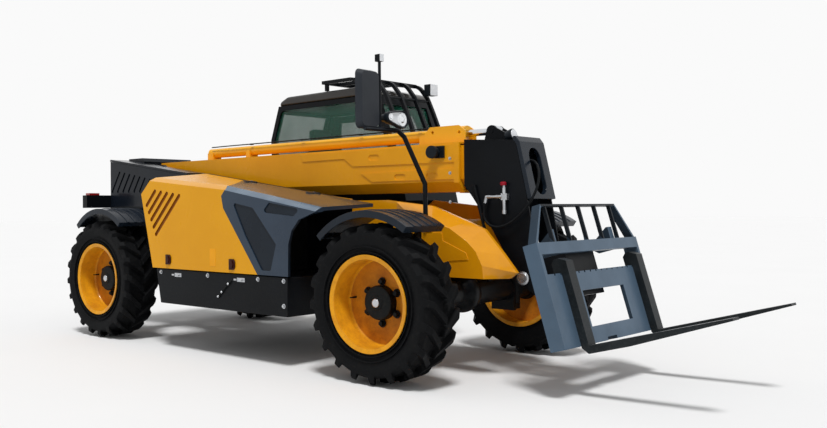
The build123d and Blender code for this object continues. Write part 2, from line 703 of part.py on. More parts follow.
def screen_x(z):
    """Distance ahead of the middle of the wheelbase of the cab's front post at this height."""
    return 760 - (z - 1660) * 105 / 270


with BuildPart() as cab_guard:
    for y in guard_ys:
        with BuildSketch(side_plane(y + guard_bar / 2)):
            with BuildLine():
                ends = [(x_mid + x, z) for x, z in guard_rear + guard_bend]
                FilletPolyline(*ends, radius=120)
            trace(line_width=guard_bar)
        extrude(amount=guard_bar)
    guard_middle = (guard_ys[0] + guard_ys[-1]) / 2
    for x, z in ((-30, 2342), (545, 2300), (845, 1778)):
        with Locations((x_mid + x, guard_middle, z)):
            Box(guard_bar, guard_ys[-1] - guard_ys[0] + guard_bar, guard_bar)
    for y in (guard_ys[0] + 40, guard_ys[-1]):
        with Locations((x_mid - 30, y, (roof_z + 2342) / 2)):
            Box(guard_bar, guard_bar, 2342 - roof_z)
        with BuildSketch(side_plane(y + guard_bar / 2)):
            Polygon(*shifted([(845, 1765), (845, 1793), (screen_x(1793), 1793), (screen_x(1765), 1765)], x_mid),
                    align=None)
        extrude(amount=guard_bar)
    with Locations((guard_lamp_face - 30, guard_ys[-1], 2243)):
        Box(60, 24, 24)
save(cab_guard.part, "cab_guard")

with BuildPart() as side_tank:
    with BuildSketch(side_plane(body_half_width - 10)):
        Polygon(*shifted([(-690, skirt_bottom), (780, skirt_bottom), (800, 760), (-720, 760)], x_mid),
                align=None)
    extrude(amount=body_half_width - frame_inner - frame_plate - 130)
    with BuildSketch(side_plane(frame_inner + frame_plate + 120)):
        Polygon(*shifted([(-650, 560), (780, 560), (780, 760), (-650, 760)], x_mid), align=None)
    extrude(amount=120)
    with BuildSketch(side_plane(body_half_width - 60)):
        for cx in (x_mid - 620, x_mid + 700):
            with Locations((cx, frame_floor + 90)):
                Rectangle(80, 100)
    extrude(amount=body_half_width - 60 - frame_inner - frame_plate, mode=Mode.SUBTRACT)
    # two steps up to the door
    for low in (430, 600):
        with Locations((x_mid + 330, body_half_width - 10 - 60, low + 60)):
            Box(360, 121, 120, mode=Mode.SUBTRACT)
save(side_tank.part, "side_tank")

# ---------------------------------------------------------------- boom
x_mouth = x_front + boom_front
x_tail = x_pivot - boom_tail


def boom_section(half_width, top, bottom, cant):
    """Half-open box with its two lower corners folded in, as (y, z) points."""
    return [
        (-half_width, top), (half_width, top), (half_width, bottom + cant),
        (half_width - cant, bottom), (cant - half_width, bottom), (-half_width, bottom + cant),
    ]


def across(x):
    """Cross-section plane at this x: sketch x is to the left, sketch y is up."""
    return Plane(origin=(x, 0, 0), x_dir=(0, 1, 0), z_dir=(1, 0, 0))


# side view of the stiffening plates and their slots, x from the boom's mouth
patch_outlines = [
    [(-1625, 1656), (-1597, 1592), (-1122, 1596), (-1031, 1529), (-35, 1524), (-35, 1656)],
    [(-941, 1469), (-35, 1480), (-35, 1398), (-828, 1398)],
]
patch_slots = [(-807, 1592), (-547, 1428), (-244, 1428)]
with BuildPart() as outer_boom:
    with BuildSketch(across(x_tail)):
        Polygon(*boom_section(boom_half_width, boom_top, boom_bottom, boom_cant), align=None)
    extrude(amount=x_mouth - x_tail)
    with BuildSketch(across(x_pivot + 110)):
        Polygon(*boom_section(boom_half_width - boom_wall, boom_top - boom_wall, boom_bottom + boom_wall,
                              boom_cant - 5), align=None)
    extrude(amount=x_mouth - x_pivot, mode=Mode.SUBTRACT)
    # stiffening plates on both sides, with their plug-weld slots, and the mouth's collar
    for side in (1, -1):
        with BuildSketch(side_plane(side * boom_half_width)):
            for outline in patch_outlines:
                Polygon(*shifted(outline, x_mouth), align=None)
            for x, z in patch_slots:
                with Locations((x_mouth + x, z)):
                    SlotOverall(108, 46, mode=Mode.SUBTRACT)
        extrude(amount=-side * boom_patch)
    with BuildSketch(across(x_mouth - 45)):
        Polygon(*boom_section(boom_half_width + 9, boom_top, boom_bottom - 9, boom_cant), align=None)
        Polygon(*boom_section(boom_half_width - boom_wall, boom_top - boom_wall, boom_bottom + boom_wall,
                              boom_cant - 5), align=None, mode=Mode.SUBTRACT)
    extrude(amount=45)
    # lift cylinder lugs under the boom
    for side in (1, -1):
        with BuildSketch(side_plane(side * 72 + 12)):
            with Locations(lift_eye):
                Circle(62)
            Polygon((lift_eye[0] - 62, lift_eye[1]), (lift_eye[0] + 62, lift_eye[1]),
                    (lift_eye[0] + 150, boom_bottom + 6), (lift_eye[0] - 150, boom_bottom + 6), align=None)
        extrude(amount=24)
    with Locations((x_pivot, 0, boom_pivot_z)):
        Cylinder(42, 4 * boom_half_width, rotation=(90, 0, 0), mode=Mode.SUBTRACT)
    for side in (1, -1):
        with BuildSketch(side_plane(side * (boom_half_width + 40) + 40)):
            with Locations((x_pivot, boom_pivot_z)):
                Circle(85)
                Circle(42, mode=Mode.SUBTRACT)
        extrude(amount=80)
save(outer_boom.part, "outer_boom")

inner_tail = x_rear + 250.0
inner_tip = x_front + 250.0
with BuildPart() as inner_boom:
    inner_top = boom_top - boom_wall - boom_gap
    inner_bottom = boom_bottom + boom_wall + boom_gap
    with BuildSketch(across(inner_tail)):
        Polygon(*boom_section(inner_half_width, inner_top, inner_bottom, boom_cant - 8), align=None)
        Polygon(*boom_section(inner_half_width - boom_wall, inner_top - boom_wall, inner_bottom + boom_wall,
                              boom_cant - 13), align=None, mode=Mode.SUBTRACT)
    extrude(amount=inner_tip - inner_tail)
    with BuildSketch(across(inner_tip - 30)):
        Polygon(*boom_section(inner_half_width, inner_top, inner_bottom, boom_cant - 8), align=None)
    extrude(amount=30)
save(inner_boom.part, "inner_boom")

barrel_rear = x_rear + 380.0
barrel_front = x_front - 241.0
gland_end = x_front + 70.0
barrel_radius = 46.0
barrel_z = boom_top + barrel_radius + 27.0
rod_radius = 26.0

# head: side plates from the boom's tip down to the tilt pin
head_outline = shifted(
    [(-500, 650), (-430, 562), (-270, 330), (-130, 100), (-62, -20), (62, -20), (62, 250), (10, 540),
     (-75, 930), (-100, 958), (-500, 985)], x_tilt, tilt_pivot_z)
tilt_foot = (x_tilt - 280.0, tilt_pivot_z + 780.0)
tilt_eye = (x_tilt + 6.0, tilt_pivot_z + 170.0)
rod_pin = (x_front + 310.0, barrel_z)

# loop hose from the couplings to the bulkhead behind the cover's slot
hose_diameter = 18.0
x_bulkhead = x_tilt - 112.0
elbow_reach = 44.0
hose_route = [(x_tilt + x, y, z) for x, y, z in [
    (-308, -193, 1219), (-326, -193, 1152), (-307, -196, 1088), (-252, -200, 1050), (-175, -203, 1048),
    (-90, -205, 1083), (-5, -204, 1150), (62, -194, 1240), (94, -170, 1335), (84, -132, 1424),
    (38, -88, 1492), (-24, -50, 1520), (-88, -50, 1520)]]


def bend_radii(route):
    """Radius for each corner of a route: 0.45 of its shorter run over the tangent of half its turn."""
    radii = []
    for before, corner, after in zip(route, route[1:], route[2:]):
        one, two = Vector(*corner) - Vector(*before), Vector(*after) - Vector(*corner)
        half_turn = math.radians(one.get_angle(two)) / 2
        radii.append(0.45 * min(one.length, two.length) / math.tan(half_turn))
    return radii


hose_radii = bend_radii(hose_route)
print("loop hose radii", [round(radius) for radius in hose_radii])
# coupler cylinders: x and z from the block's middle, radius, length, degrees turned from upright
coupler_parts = [(0, 40, 13, 46, 0), (0, 68, 9, 24, 0), (0, -62, 12, 80, 0), (0, -108, 15, 26, 0),
                 (-40, 0, 13, 50, 90), (-88, 0, 11, 62, 90), (-124, 0, 13, 24, 90)]
with BuildPart() as boom_head:
    for side in (1, -1):
        with BuildSketch(side_plane(head_half_width if side == 1 else -inner_half_width)):
            Polygon(*head_outline, align=None)
            with Locations((x_tilt, tilt_pivot_z)):
                Circle(62)
                Circle(31, mode=Mode.SUBTRACT)
        extrude(amount=head_plate)
    with BuildSketch(side_plane(inner_half_width)):
        Polygon(*shifted([(-500, 985), (-100, 958), (-98, 944), (-500, 970)], x_tilt, tilt_pivot_z), align=None)
        Polygon(*shifted([(-430, 562), (-270, 330), (-130, 100), (-116, 106), (-256, 336), (-416, 568)],
                         x_tilt, tilt_pivot_z), align=None)
    extrude(amount=2 * inner_half_width)
    for side in (1, -1):
        with BuildSketch(side_plane(side * 48 + 8)):
            with Locations(rod_pin):
                Circle(42)
            Polygon((rod_pin[0] - 42, rod_pin[1]), (rod_pin[0] + 34, rod_pin[1] + 24),
                    (rod_pin[0] + 230, tilt_pivot_z + 960), (rod_pin[0] - 60, tilt_pivot_z + 975), align=None)
        extrude(amount=16)
    with Locations((rod_pin[0], 0, rod_pin[1])):
        Cylinder(18, 120, rotation=(90, 0, 0))
    with Locations((tilt_foot[0], 0, tilt_foot[1])):
        Cylinder(26, 2 * inner_half_width, rotation=(90, 0, 0))
    # bulkhead that the tool hoses leave from
    with Locations((x_bulkhead, 0, (hose_route[-1][2] + tilt_pivot_z + 958) / 2 - 30)):
        Box(12, 2 * inner_half_width, tilt_pivot_z + 958 - hose_route[-1][2] + 60)
save(boom_head.part, "boom_head")

# quick couplings on the head's right plate, with the elbow that the loop hose leaves from
hose_way = (Vector(*hose_route[1]) - Vector(*hose_route[0])).normalized()
coupling = (x_tilt - 155.0, -head_half_width - 26.0, 1262.0)
with BuildPart() as hose_couplings:
    with Locations((coupling[0], -head_half_width - 16, coupling[2])):
        Box(46, 32, 46)
    for x, z, radius, length, turn in coupler_parts:
        with Locations(Location((coupling[0] + x, coupling[1], coupling[2] + z), (0, turn, 0))):
            Cylinder(radius, length)
    with BuildSketch(Plane(origin=hose_route[0], z_dir=hose_way)):
        Circle(12)
    extrude(amount=-elbow_reach)
    with Locations(Vector(*hose_route[0]) - hose_way * elbow_reach):
        Sphere(12.5)
    with BuildSketch(Plane.YZ.offset(x_bulkhead + 6)):
        with Locations(hose_route[-1][1:]):
            Circle(13)
    extrude(amount=hose_route[-1][0] - x_bulkhead - 6)
save(hose_couplings.part, "hose_couplings")

with BuildPart() as loop_hose:
    with BuildLine() as hose_line:
        FilletPolyline(*hose_route, radius=hose_radii)
    with BuildSketch(Plane(origin=hose_line.line @ 0, z_dir=hose_line.line % 0)):
        Circle(hose_diameter / 2)
    sweep()
save(loop_hose.part, "loop_hose")

with BuildPart() as head_cover:
    with BuildSketch(side_plane(head_half_width)):
        Polygon(*shifted([(-100, 958), (-75, 930), (10, 540), (42, 545), (-48, 945), (-78, 985),
                          (-100, 985)], x_tilt, tilt_pivot_z), align=None)
    extrude(amount=2 * head_half_width)
    with BuildSketch(Plane.YZ.offset(x_tilt - 300)):
        with Locations((0, tilt_pivot_z + 740)):
            SlotCenterToCenter(180, 150, rotation=90)
    extrude(amount=500, mode=Mode.SUBTRACT)
save(head_cover.part, "head_cover")

# ---------------------------------------------------------------- cylinders


def along(start, end, distance=0.0):
    """Plane square to the line between two side-view points, this far from the first."""
    dx, dz = end[0] - start[0], end[1] - start[1]
    length = math.hypot(dx, dz)
    step = distance / length
    return Plane(origin=(start[0] + dx * step, 0, start[1] + dz * step), z_dir=(dx, 0, dz))


def span(start, end):
    return math.hypot(end[0] - start[0], end[1] - start[1])


lift_span = span(lift_foot, lift_eye)
with BuildPart() as lift_barrel:
    with BuildSketch(along(lift_foot, lift_eye, 50)):
        Circle(68)
    extrude(amount=lift_span - 190)
    with BuildSketch(side_plane(60)):
        with Locations(lift_foot):
            Circle(60)
    extrude(amount=120)
    with BuildSketch(along(lift_foot, lift_eye, 100)):
        Circle(36)
    extrude(amount=lift_span, mode=Mode.SUBTRACT)
    with Locations((lift_foot[0], 0, lift_foot[1])):
        Cylinder(29, 200, rotation=(90, 0, 0), mode=Mode.SUBTRACT)
save(lift_barrel.part, "lift_barrel")
with BuildPart() as lift_rod:
    with BuildSketch(along(lift_foot, lift_eye, 110)):
        Circle(35)
    extrude(amount=lift_span - 150)
    with BuildSketch(side_plane(45)):
        with Locations(lift_eye):
            Circle(50)
    extrude(amount=90)
    with Locations((lift_eye[0], 0, lift_eye[1])):
        Cylinder(30, 200, rotation=(90, 0, 0), mode=Mode.SUBTRACT)
save(lift_rod.part, "lift_rod")

tilt_span = span(tilt_foot, tilt_eye)
with BuildPart() as tilt_barrel:
    with BuildSketch(along(tilt_foot, tilt_eye, 40)):
        Circle(52)
    extrude(amount=tilt_span - 165)
    with BuildSketch(side_plane(40)):
        with Locations(tilt_foot):
            Circle(50)
    extrude(amount=80)
    with BuildSketch(along(tilt_foot, tilt_eye, 80)):
        Circle(26)
    extrude(amount=tilt_span, mode=Mode.SUBTRACT)
    with Locations((tilt_foot[0], 0, tilt_foot[1])):
        Cylinder(27, 200, rotation=(90, 0, 0), mode=Mode.SUBTRACT)
save(tilt_barrel.part, "tilt_barrel")
with BuildPart() as tilt_rod:
    with BuildSketch(along(tilt_foot, tilt_eye, 90)):
        Circle(25)
    extrude(amount=tilt_span - 125)
    with BuildSketch(side_plane(30)):
        with Locations(tilt_eye):
            Circle(45)
            Circle(24, mode=Mode.SUBTRACT)
    extrude(amount=60)
save(tilt_rod.part, "tilt_rod")

with BuildPart() as extension_barrel:
    with BuildSketch(across(barrel_rear)):
        with Locations((0, barrel_z)):
            Circle(barrel_radius)
    extrude(amount=barrel_front - barrel_rear)
    # saddles that hold the barrel on the boom: x, length
    for sx, length in ((barrel_rear + 40, 80), (barrel_rear + 590, 50), (barrel_front - 60, 70)):
        with Locations((sx, 0, (boom_top + barrel_z) / 2)):
            Box(length, 2 * barrel_radius + 16, barrel_z - boom_top)
    # gland and its bracket at the boom's mouth
    with BuildSketch(across(barrel_front - 10)):
        with Locations((0, barrel_z)):
            Circle(barrel_radius + 14)
    extrude(amount=gland_end - barrel_front + 10)
    for side in (1, -1):
        with BuildSketch(side_plane(side * (barrel_radius + 22) + 6)):
            Polygon((barrel_front - 30, boom_top), (gland_end + 30, boom_top), (gland_end + 30, barrel_z + 20),
                    (gland_end - 30, barrel_z + 62), (barrel_front + 20, barrel_z + 62),
                    (barrel_front - 30, barrel_z + 10), align=None)
            with Locations((barrel_front + 45, barrel_z + 20), (gland_end - 25, barrel_z + 8)):
                Circle(12, mode=Mode.SUBTRACT)
        extrude(amount=12)
    with Locations(((barrel_front + gland_end) / 2, 0, (boom_top + barrel_z) / 2)):
        Box(gland_end - barrel_front - 20, 2 * barrel_radius + 40, barrel_z - boom_top)
    with BuildSketch(across(barrel_rear + 60)):
        with Locations((0, barrel_z)):
            Circle(rod_radius + 1)
    extrude(amount=gland_end - barrel_rear, mode=Mode.SUBTRACT)
save(extension_barrel.part, "extension_barrel")
with BuildPart() as extension_rod:
    with BuildSketch(across(barrel_rear + 80)):
        with Locations((0, barrel_z)):
            Circle(rod_radius)
    extrude(amount=rod_pin[0] - barrel_rear - 115)
    with BuildSketch(side_plane(38)):
        with Locations(rod_pin):
            Circle(42)
            Circle(19, mode=Mode.SUBTRACT)
    extrude(amount=76)
save(extension_rod.part, "extension_rod")

# ---------------------------------------------------------------- tool carrier and forks
# side view of the carriage: sketch x is square to the fork frame, sketch y runs up it
carriage = Plane(origin=(x_tilt, 0, tilt_pivot_z), x_dir=(math.cos(lean), 0, math.sin(lean)), z_dir=(0, -1, 0))
frame_back = frame_face - 100.0
eye_local = (math.hypot(6, 170) * math.sin(lean + math.atan2(6, 170)),
             math.hypot(6, 170) * math.cos(lean + math.atan2(6, 170)))
carrier_gap = head_half_width + clear


def carriage_at(y):
    """Carriage side view shifted to this y; extrude goes to the right."""
    return carriage.offset(-y)


with BuildPart() as tool_carrier:
    for side in (1, -1):
        with BuildSketch(carriage_at(carrier_gap + 25 if side == 1 else -carrier_gap)):
            Circle(60)
            Polygon((-20, 56), (-20, -56), (60, -150), (frame_back, -200), (frame_back, 120), (150, 150),
                    align=None)
        extrude(amount=25)
        with BuildSketch(carriage_at(side * 60 + 12)):
            Circle(58)
            with Locations(eye_local):
                Circle(40)
            Polygon((-40, 40), (eye_local[0] - 30, eye_local[1] + 26), (150, 150), (frame_back, 100),
                    (frame_back, -100), (0, -58), align=None)
        extrude(amount=24)
    with BuildSketch(carriage_at(carrier_gap + 25)):
        Polygon((frame_back - 30, -200), (frame_back, -200), (frame_back, 120), (frame_back - 30, 120), align=None)
    extrude(amount=2 * (carrier_gap + 25))
    with BuildSketch(carriage_at(carrier_gap + 45)):
        Circle(30)
    extrude(amount=2 * (carrier_gap + 45))
save(tool_carrier.part, "tool_carrier")

frame_low = -515.0            # lower edge of the fork frame, from the tilt pin
plate_top = -50.0             # upper edge of its front plate, which the forks hook on
hook_lip = 24.0
with BuildPart() as fork_frame:
    # outer frame: two side posts and a top bar
    for side in (1, -1):
        with BuildSketch(carriage_at(carriage_half_width if side == 1 else -carriage_half_width + 30)):
            Polygon((frame_back, frame_low), (frame_face, frame_low), (frame_face, 153), (frame_back, 153),
                    align=None)
        extrude(amount=30)
    with BuildSketch(carriage_at(carriage_half_width)):
        Polygon((frame_face - 40, 78), (frame_face, 78), (frame_face, 153), (frame_face - 40, 153), align=None)
    extrude(amount=2 * carriage_half_width)
    # front plate with a window, a notch in its lower edge and locating notches in its upper edge
    with BuildSketch(carriage_at(carriage_half_width)):
        Polygon((frame_face - 25, frame_low), (frame_face, frame_low), (frame_face, plate_top),
                (frame_face - 25, plate_top), align=None)
    extrude(amount=2 * carriage_half_width)
    with BuildSketch(carriage_at(290)):
        Polygon((frame_back, -410), (frame_face, -410), (frame_face, -175), (frame_back, -175), align=None)
    extrude(amount=580, mode=Mode.SUBTRACT)
    # beams behind the plate; the upper one leaves room for the hooks
    for low, high in ((frame_low, -430), (-150, plate_top - 40)):
        with BuildSketch(carriage_at(carriage_half_width)):
            Polygon((frame_back, low), (frame_face - 25, low), (frame_face - 25, high), (frame_back, high),
                    align=None)
        extrude(amount=2 * carriage_half_width)
    with BuildSketch(carriage_at(0)):
        Polygon((frame_back, frame_low - 1), (frame_face + 1, frame_low - 1), (frame_face + 1, frame_low + 22),
                (frame_back, frame_low + 22), align=None)
    extrude(amount=130, mode=Mode.SUBTRACT)
    notch_pitch = carriage_half_width / 9
    for i in range(8):
        for y in ((i + 0.5) * notch_pitch, -(i + 0.5) * notch_pitch):
            with BuildSketch(carriage_at(y + 8)):
                Polygon((frame_face - 26, plate_top - 11), (frame_face + 1, plate_top - 11),
                        (frame_face + 1, plate_top + 1), (frame_face - 26, plate_top + 1), align=None)
            extrude(amount=16, mode=Mode.SUBTRACT)
    # gusset with a flange behind the top bar on each side
    for side in (1, -1):
        with BuildSketch(carriage_at(383 + 6 if side == 1 else -383 + 6)):
            Polygon((frame_face - 38, 78), (frame_face - 38, 243), (frame_face - 52, 243),
                    (frame_face - 190, 150), (frame_face - 190, 110), (frame_face - 150, 78), align=None)
        extrude(amount=12)
        with BuildSketch(carriage_at(437 if side == 1 else -377)):
            Polygon((frame_face - 48, 100), (frame_face - 38, 100), (frame_face - 38, 243),
                    (frame_face - 48, 243), align=None)
        extrude(amount=60)
    # load guard
    guard_top = 404.0
    guard_flat = 14.0
    guard_deep = 32.0
    guard_leg = 58.0
    guard_half = carriage_half_width - 180
    guard_face = frame_face - 8.0
    with BuildSketch(carriage_at(guard_half)):
        Polygon((guard_face - guard_deep, guard_top - guard_flat), (guard_face, guard_top - guard_flat),
                (guard_face, guard_top), (guard_face - guard_deep, guard_top), align=None)
    extrude(amount=2 * guard_half)
    for i in range(-2, 3):
        with BuildSketch(carriage_at(i * (guard_half - 65) / 2 + guard_flat / 2)):
            Polygon((frame_face - 40, 140), (guard_face - 3, 140), (guard_face - 3, guard_top - 7),
                    (guard_face - guard_deep + 3, guard_top - 7), (guard_face - guard_deep + 3, 190), align=None)
        extrude(amount=guard_flat)
    for side in (1, -1):
        with BuildSketch(Plane(origin=carriage.origin, x_dir=(0, 1, 0),
                               z_dir=carriage.x_dir).offset(guard_face - guard_leg)):
            Polygon((side * guard_half, guard_top), (side * (guard_half - 16), guard_top),
                    (side * (carriage_half_width - 30), 150), (side * (carriage_half_width - 5), 150),
                    align=None)
        extrude(amount=guard_leg)
save(fork_frame.part, "fork_frame")

with BuildPart() as forks:
    for side in (1, -1):
        with BuildSketch(carriage_at(fork_shift + side * fork_spacing / 2 + fork_width / 2)):
            Polygon((frame_face + 0.5, 45), (shank_face, 18), (shank_face, fork_thick - blade_drop),
                    (shank_face + fork_blade, fork_thick - blade_drop),
                    (shank_face + fork_blade, fork_thick - blade_tip - blade_drop),
                    (shank_face + 250, -blade_drop), (shank_face - 15, -blade_drop),
                    (frame_face + 0.5, -blade_drop + 40), align=None)
            # hook over the front plate's upper edge
            Polygon((frame_face + 2, 45), (frame_face + 2, plate_top + 0.5), (frame_face - 25.5, plate_top + 0.5),
                    (frame_face - 25.5, plate_top - 30), (frame_face - 25.5 - hook_lip, plate_top - 30),
                    (frame_face - 25.5 - hook_lip, 20), (frame_face - 25, 45), align=None)
        extrude(amount=fork_width)
save(forks.part, "forks")

# ---------------------------------------------------------------- arms, mirror and lamps
arm_radius = 17.0
arm_top = 1742.0
with BuildPart() as mirror_arms:
    with BuildLine() as arm_line:
        FilletPolyline((x_front + 30, -cowl_half_width - 20, 1060), (x_front + 30, -cowl_half_width - 25, 1360),
                       (x_front - 90, -560, 1700), (x_front - 100, -620, arm_top), (x_front - 100, -980, arm_top),
                       radius=30)
    with BuildSketch(Plane(origin=arm_line.line @ 0, z_dir=arm_line.line % 0)):
        Circle(arm_radius)
    sweep()
    with Locations((x_front + 30, -cowl_half_width - 5, 1060)):
        Box(80, 10, 80)
    # mirror head with rounded corners, drawn in towards its back
    with BuildSketch(Plane.YZ.offset(x_front - 130)):
        with Locations((-940, 1945)):
            RectangleRounded(212, 412, 40)
    with BuildSketch(Plane.YZ.offset(x_front - 80)):
        with Locations((-940, 1945)):
            RectangleRounded(180, 380, 40)
    loft(ruled=True)
    with Locations((x_front - 100, -820, 1990)):
        Cylinder(11, 480)
    with Locations((x_front - 100, -820, 2240)):
        Box(45, 45, 50)
    # short arm of the left headlamp
    with BuildLine() as left_arm:
        FilletPolyline((x_front + 30, cowl_half_width + 20, 1060), (x_front + 30, cowl_half_width + 25, 1300),
                       (x_front - 60, cowl_half_width + 60, 1440), (x_front - 60, 800, 1440), radius=30)
    with BuildSketch(Plane(origin=left_arm.line @ 0, z_dir=left_arm.line % 0)):
        Circle(arm_radius)
    sweep(path=left_arm.line)
    with Locations((x_front + 30, cowl_half_width + 5, 1060)):
        Box(80, 10, 80)
save(mirror_arms.part, "mirror_arms")

# headlamps: y of the big end, side that the small end points to, z of the middle
headlamps = [(-640, -1, arm_top + arm_radius + 56), (620, 1, 1440 + arm_radius + 56)]
with BuildPart() as lamps:
    for y, side, z in headlamps:
        for depth, radius, small in ((0, 56, 30), (95, 34, 18)):
            with BuildSketch(Plane.YZ.offset(x_front - 45 - depth)):
                with Locations((y, z)):
                    Circle(radius)
                with Locations((y + side * 133, z + 12)):
                    Circle(small)
                make_hull()
        loft(ruled=True)
    for y in (-740, 740):
        with Locations((x_rear - rear_overhang + 45, y, 1355)):
            Box(70, 120, 22)
    # work lamp on the guard's last bar
    with Locations((guard_lamp_face + 35, guard_ys[-1] - 20, 2243)):
        Box(70, 110, 100)
save(lamps.part, "lamps")

with BuildPart() as boom_lamp:
    boom_lamp_place = (x_mouth - 198, 1602)
    with Locations((x_mouth - 170, -boom_half_width - boom_patch - 8, 1602)):
        Box(90, 16, 90)
    with BuildSketch(side_plane(-boom_half_width - boom_patch - 16)):
        with Locations(boom_lamp_place):
            Circle(34)
    with BuildSketch(side_plane(-boom_half_width - boom_patch - 50)):
        with Locations(boom_lamp_place):
            Circle(48)
    loft(ruled=True)
    with BuildSketch(side_plane(-boom_half_width - boom_patch - 50)):
        with Locations(boom_lamp_place):
            Circle(48)
    extrude(amount=24)
save(boom_lamp.part, "boom_lamp")
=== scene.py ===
"""Telehandler: finishes, hose, cushions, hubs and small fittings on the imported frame, in metres."""
import json
import math

import bmesh
import bpy
from mathutils import Matrix, Vector


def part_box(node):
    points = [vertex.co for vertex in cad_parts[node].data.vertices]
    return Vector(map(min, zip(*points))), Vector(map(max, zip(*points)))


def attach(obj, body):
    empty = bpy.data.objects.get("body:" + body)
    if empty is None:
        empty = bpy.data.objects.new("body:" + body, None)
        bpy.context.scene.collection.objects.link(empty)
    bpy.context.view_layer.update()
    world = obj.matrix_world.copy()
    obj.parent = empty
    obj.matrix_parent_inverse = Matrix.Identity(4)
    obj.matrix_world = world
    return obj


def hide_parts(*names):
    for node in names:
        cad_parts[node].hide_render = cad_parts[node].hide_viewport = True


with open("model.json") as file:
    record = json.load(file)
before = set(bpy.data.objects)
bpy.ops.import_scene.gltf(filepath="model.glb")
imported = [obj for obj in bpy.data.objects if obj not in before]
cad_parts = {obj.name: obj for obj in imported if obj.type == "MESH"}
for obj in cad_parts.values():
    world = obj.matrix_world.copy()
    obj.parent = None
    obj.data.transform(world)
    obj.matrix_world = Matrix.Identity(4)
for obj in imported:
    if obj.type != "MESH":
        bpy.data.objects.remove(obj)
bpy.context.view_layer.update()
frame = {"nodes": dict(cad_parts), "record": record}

bpy.context.scene.view_settings.view_transform = "Standard"
record = frame["record"]

# ---------------------------------------------------------------- camera and places
AXLE = {name: (Vector(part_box("rim_" + name)[0]) + Vector(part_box("rim_" + name)[1])) / 2
        for name in ("front_left", "front_right", "rear_left", "rear_right")}
X_FRONT = AXLE["front_left"].x
X_REAR = AXLE["rear_left"].x
X_MID = (X_FRONT + X_REAR) / 2
WHEEL_Z = AXLE["front_left"].z
X_TILT = X_FRONT + 0.650              # the carriage's pin
Z_TILT = 0.700
SKIRT_SIDE = -1.070                   # outer face of the side skirt
HOOD_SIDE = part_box("hood_cover")[0][1]


def aim_camera():
    """The camera stands ahead of the machine's right front corner, a little over a metre up."""
    stand = Vector((X_MID + 5.504, -5.641, 1.190))
    yaw, pitch, roll = math.radians(136.496), math.radians(0.2614), math.radians(-0.487)
    ahead = Vector((math.cos(yaw) * math.cos(pitch), math.sin(yaw) * math.cos(pitch), math.sin(pitch)))
    level = Vector((math.sin(yaw), -math.cos(yaw), 0.0))
    above = level.cross(ahead)
    right = math.cos(roll) * level + math.sin(roll) * above
    up = -math.sin(roll) * level + math.cos(roll) * above
    data = bpy.data.cameras.new("camera")
    data.sensor_width = 36.0
    data.lens = 38.5
    data.shift_x = 0.1737
    data.shift_y = -0.0110
    data.clip_end = 300.0
    camera = bpy.data.objects.new("camera", data)
    turn = Matrix((right, up, -ahead)).transposed()
    camera.matrix_world = Matrix.Translation(stand) @ turn.to_4x4()
    bpy.context.collection.objects.link(camera)
    bpy.context.scene.camera = camera


aim_camera()


# ---------------------------------------------------------------- node helper and finishes
def linear(code):
    """sRGB hex to the linear colour that a shader socket takes."""
    values = [int(code[i:i + 2], 16) / 255 for i in (1, 3, 5)]
    return tuple(v / 12.92 if v <= 0.04045 else ((v + 0.055) / 1.055) ** 2.4 for v in values) + (1.0,)


def put(tree, kind, links=None, **settings):
    """Adds a node with its settings; links maps an input to a value or to another node's output."""
    node = tree.nodes.new(kind)
    for key, value in settings.items():
        setattr(node, key, value)
    for key, value in (links or {}).items():
        if isinstance(value, bpy.types.NodeSocket):
            tree.links.new(value, node.inputs[key])
        else:
            node.inputs[key].default_value = value
    return node


def blank_material(name):
    """A new material and its emptied node tree."""
    material = bpy.data.materials.new(name)
    material.use_nodes = True
    material.node_tree.nodes.clear()
    return material, material.node_tree


def mixed(tree, factor, first, second, blend="MIX"):
    """Colour socket of a mix of two colours."""
    node = put(tree, "ShaderNodeMix", {0: factor, 6: first, 7: second}, data_type="RGBA", blend_type=blend)
    return node.outputs[2]


def ranged(tree, value, low, high, to_low, to_high):
    """Value socket mapped from low..high to to_low..to_high, held at the ends."""
    node = put(tree, "ShaderNodeMapRange", {"Value": value, "From Min": low, "From Max": high,
                                            "To Min": to_low, "To Max": to_high})
    return node.outputs[0]


DUST_HEIGHTS = (0.25, 1.1)            # dust thins out between these heights above the ground
DUST_SPECK = 1 / 55.0


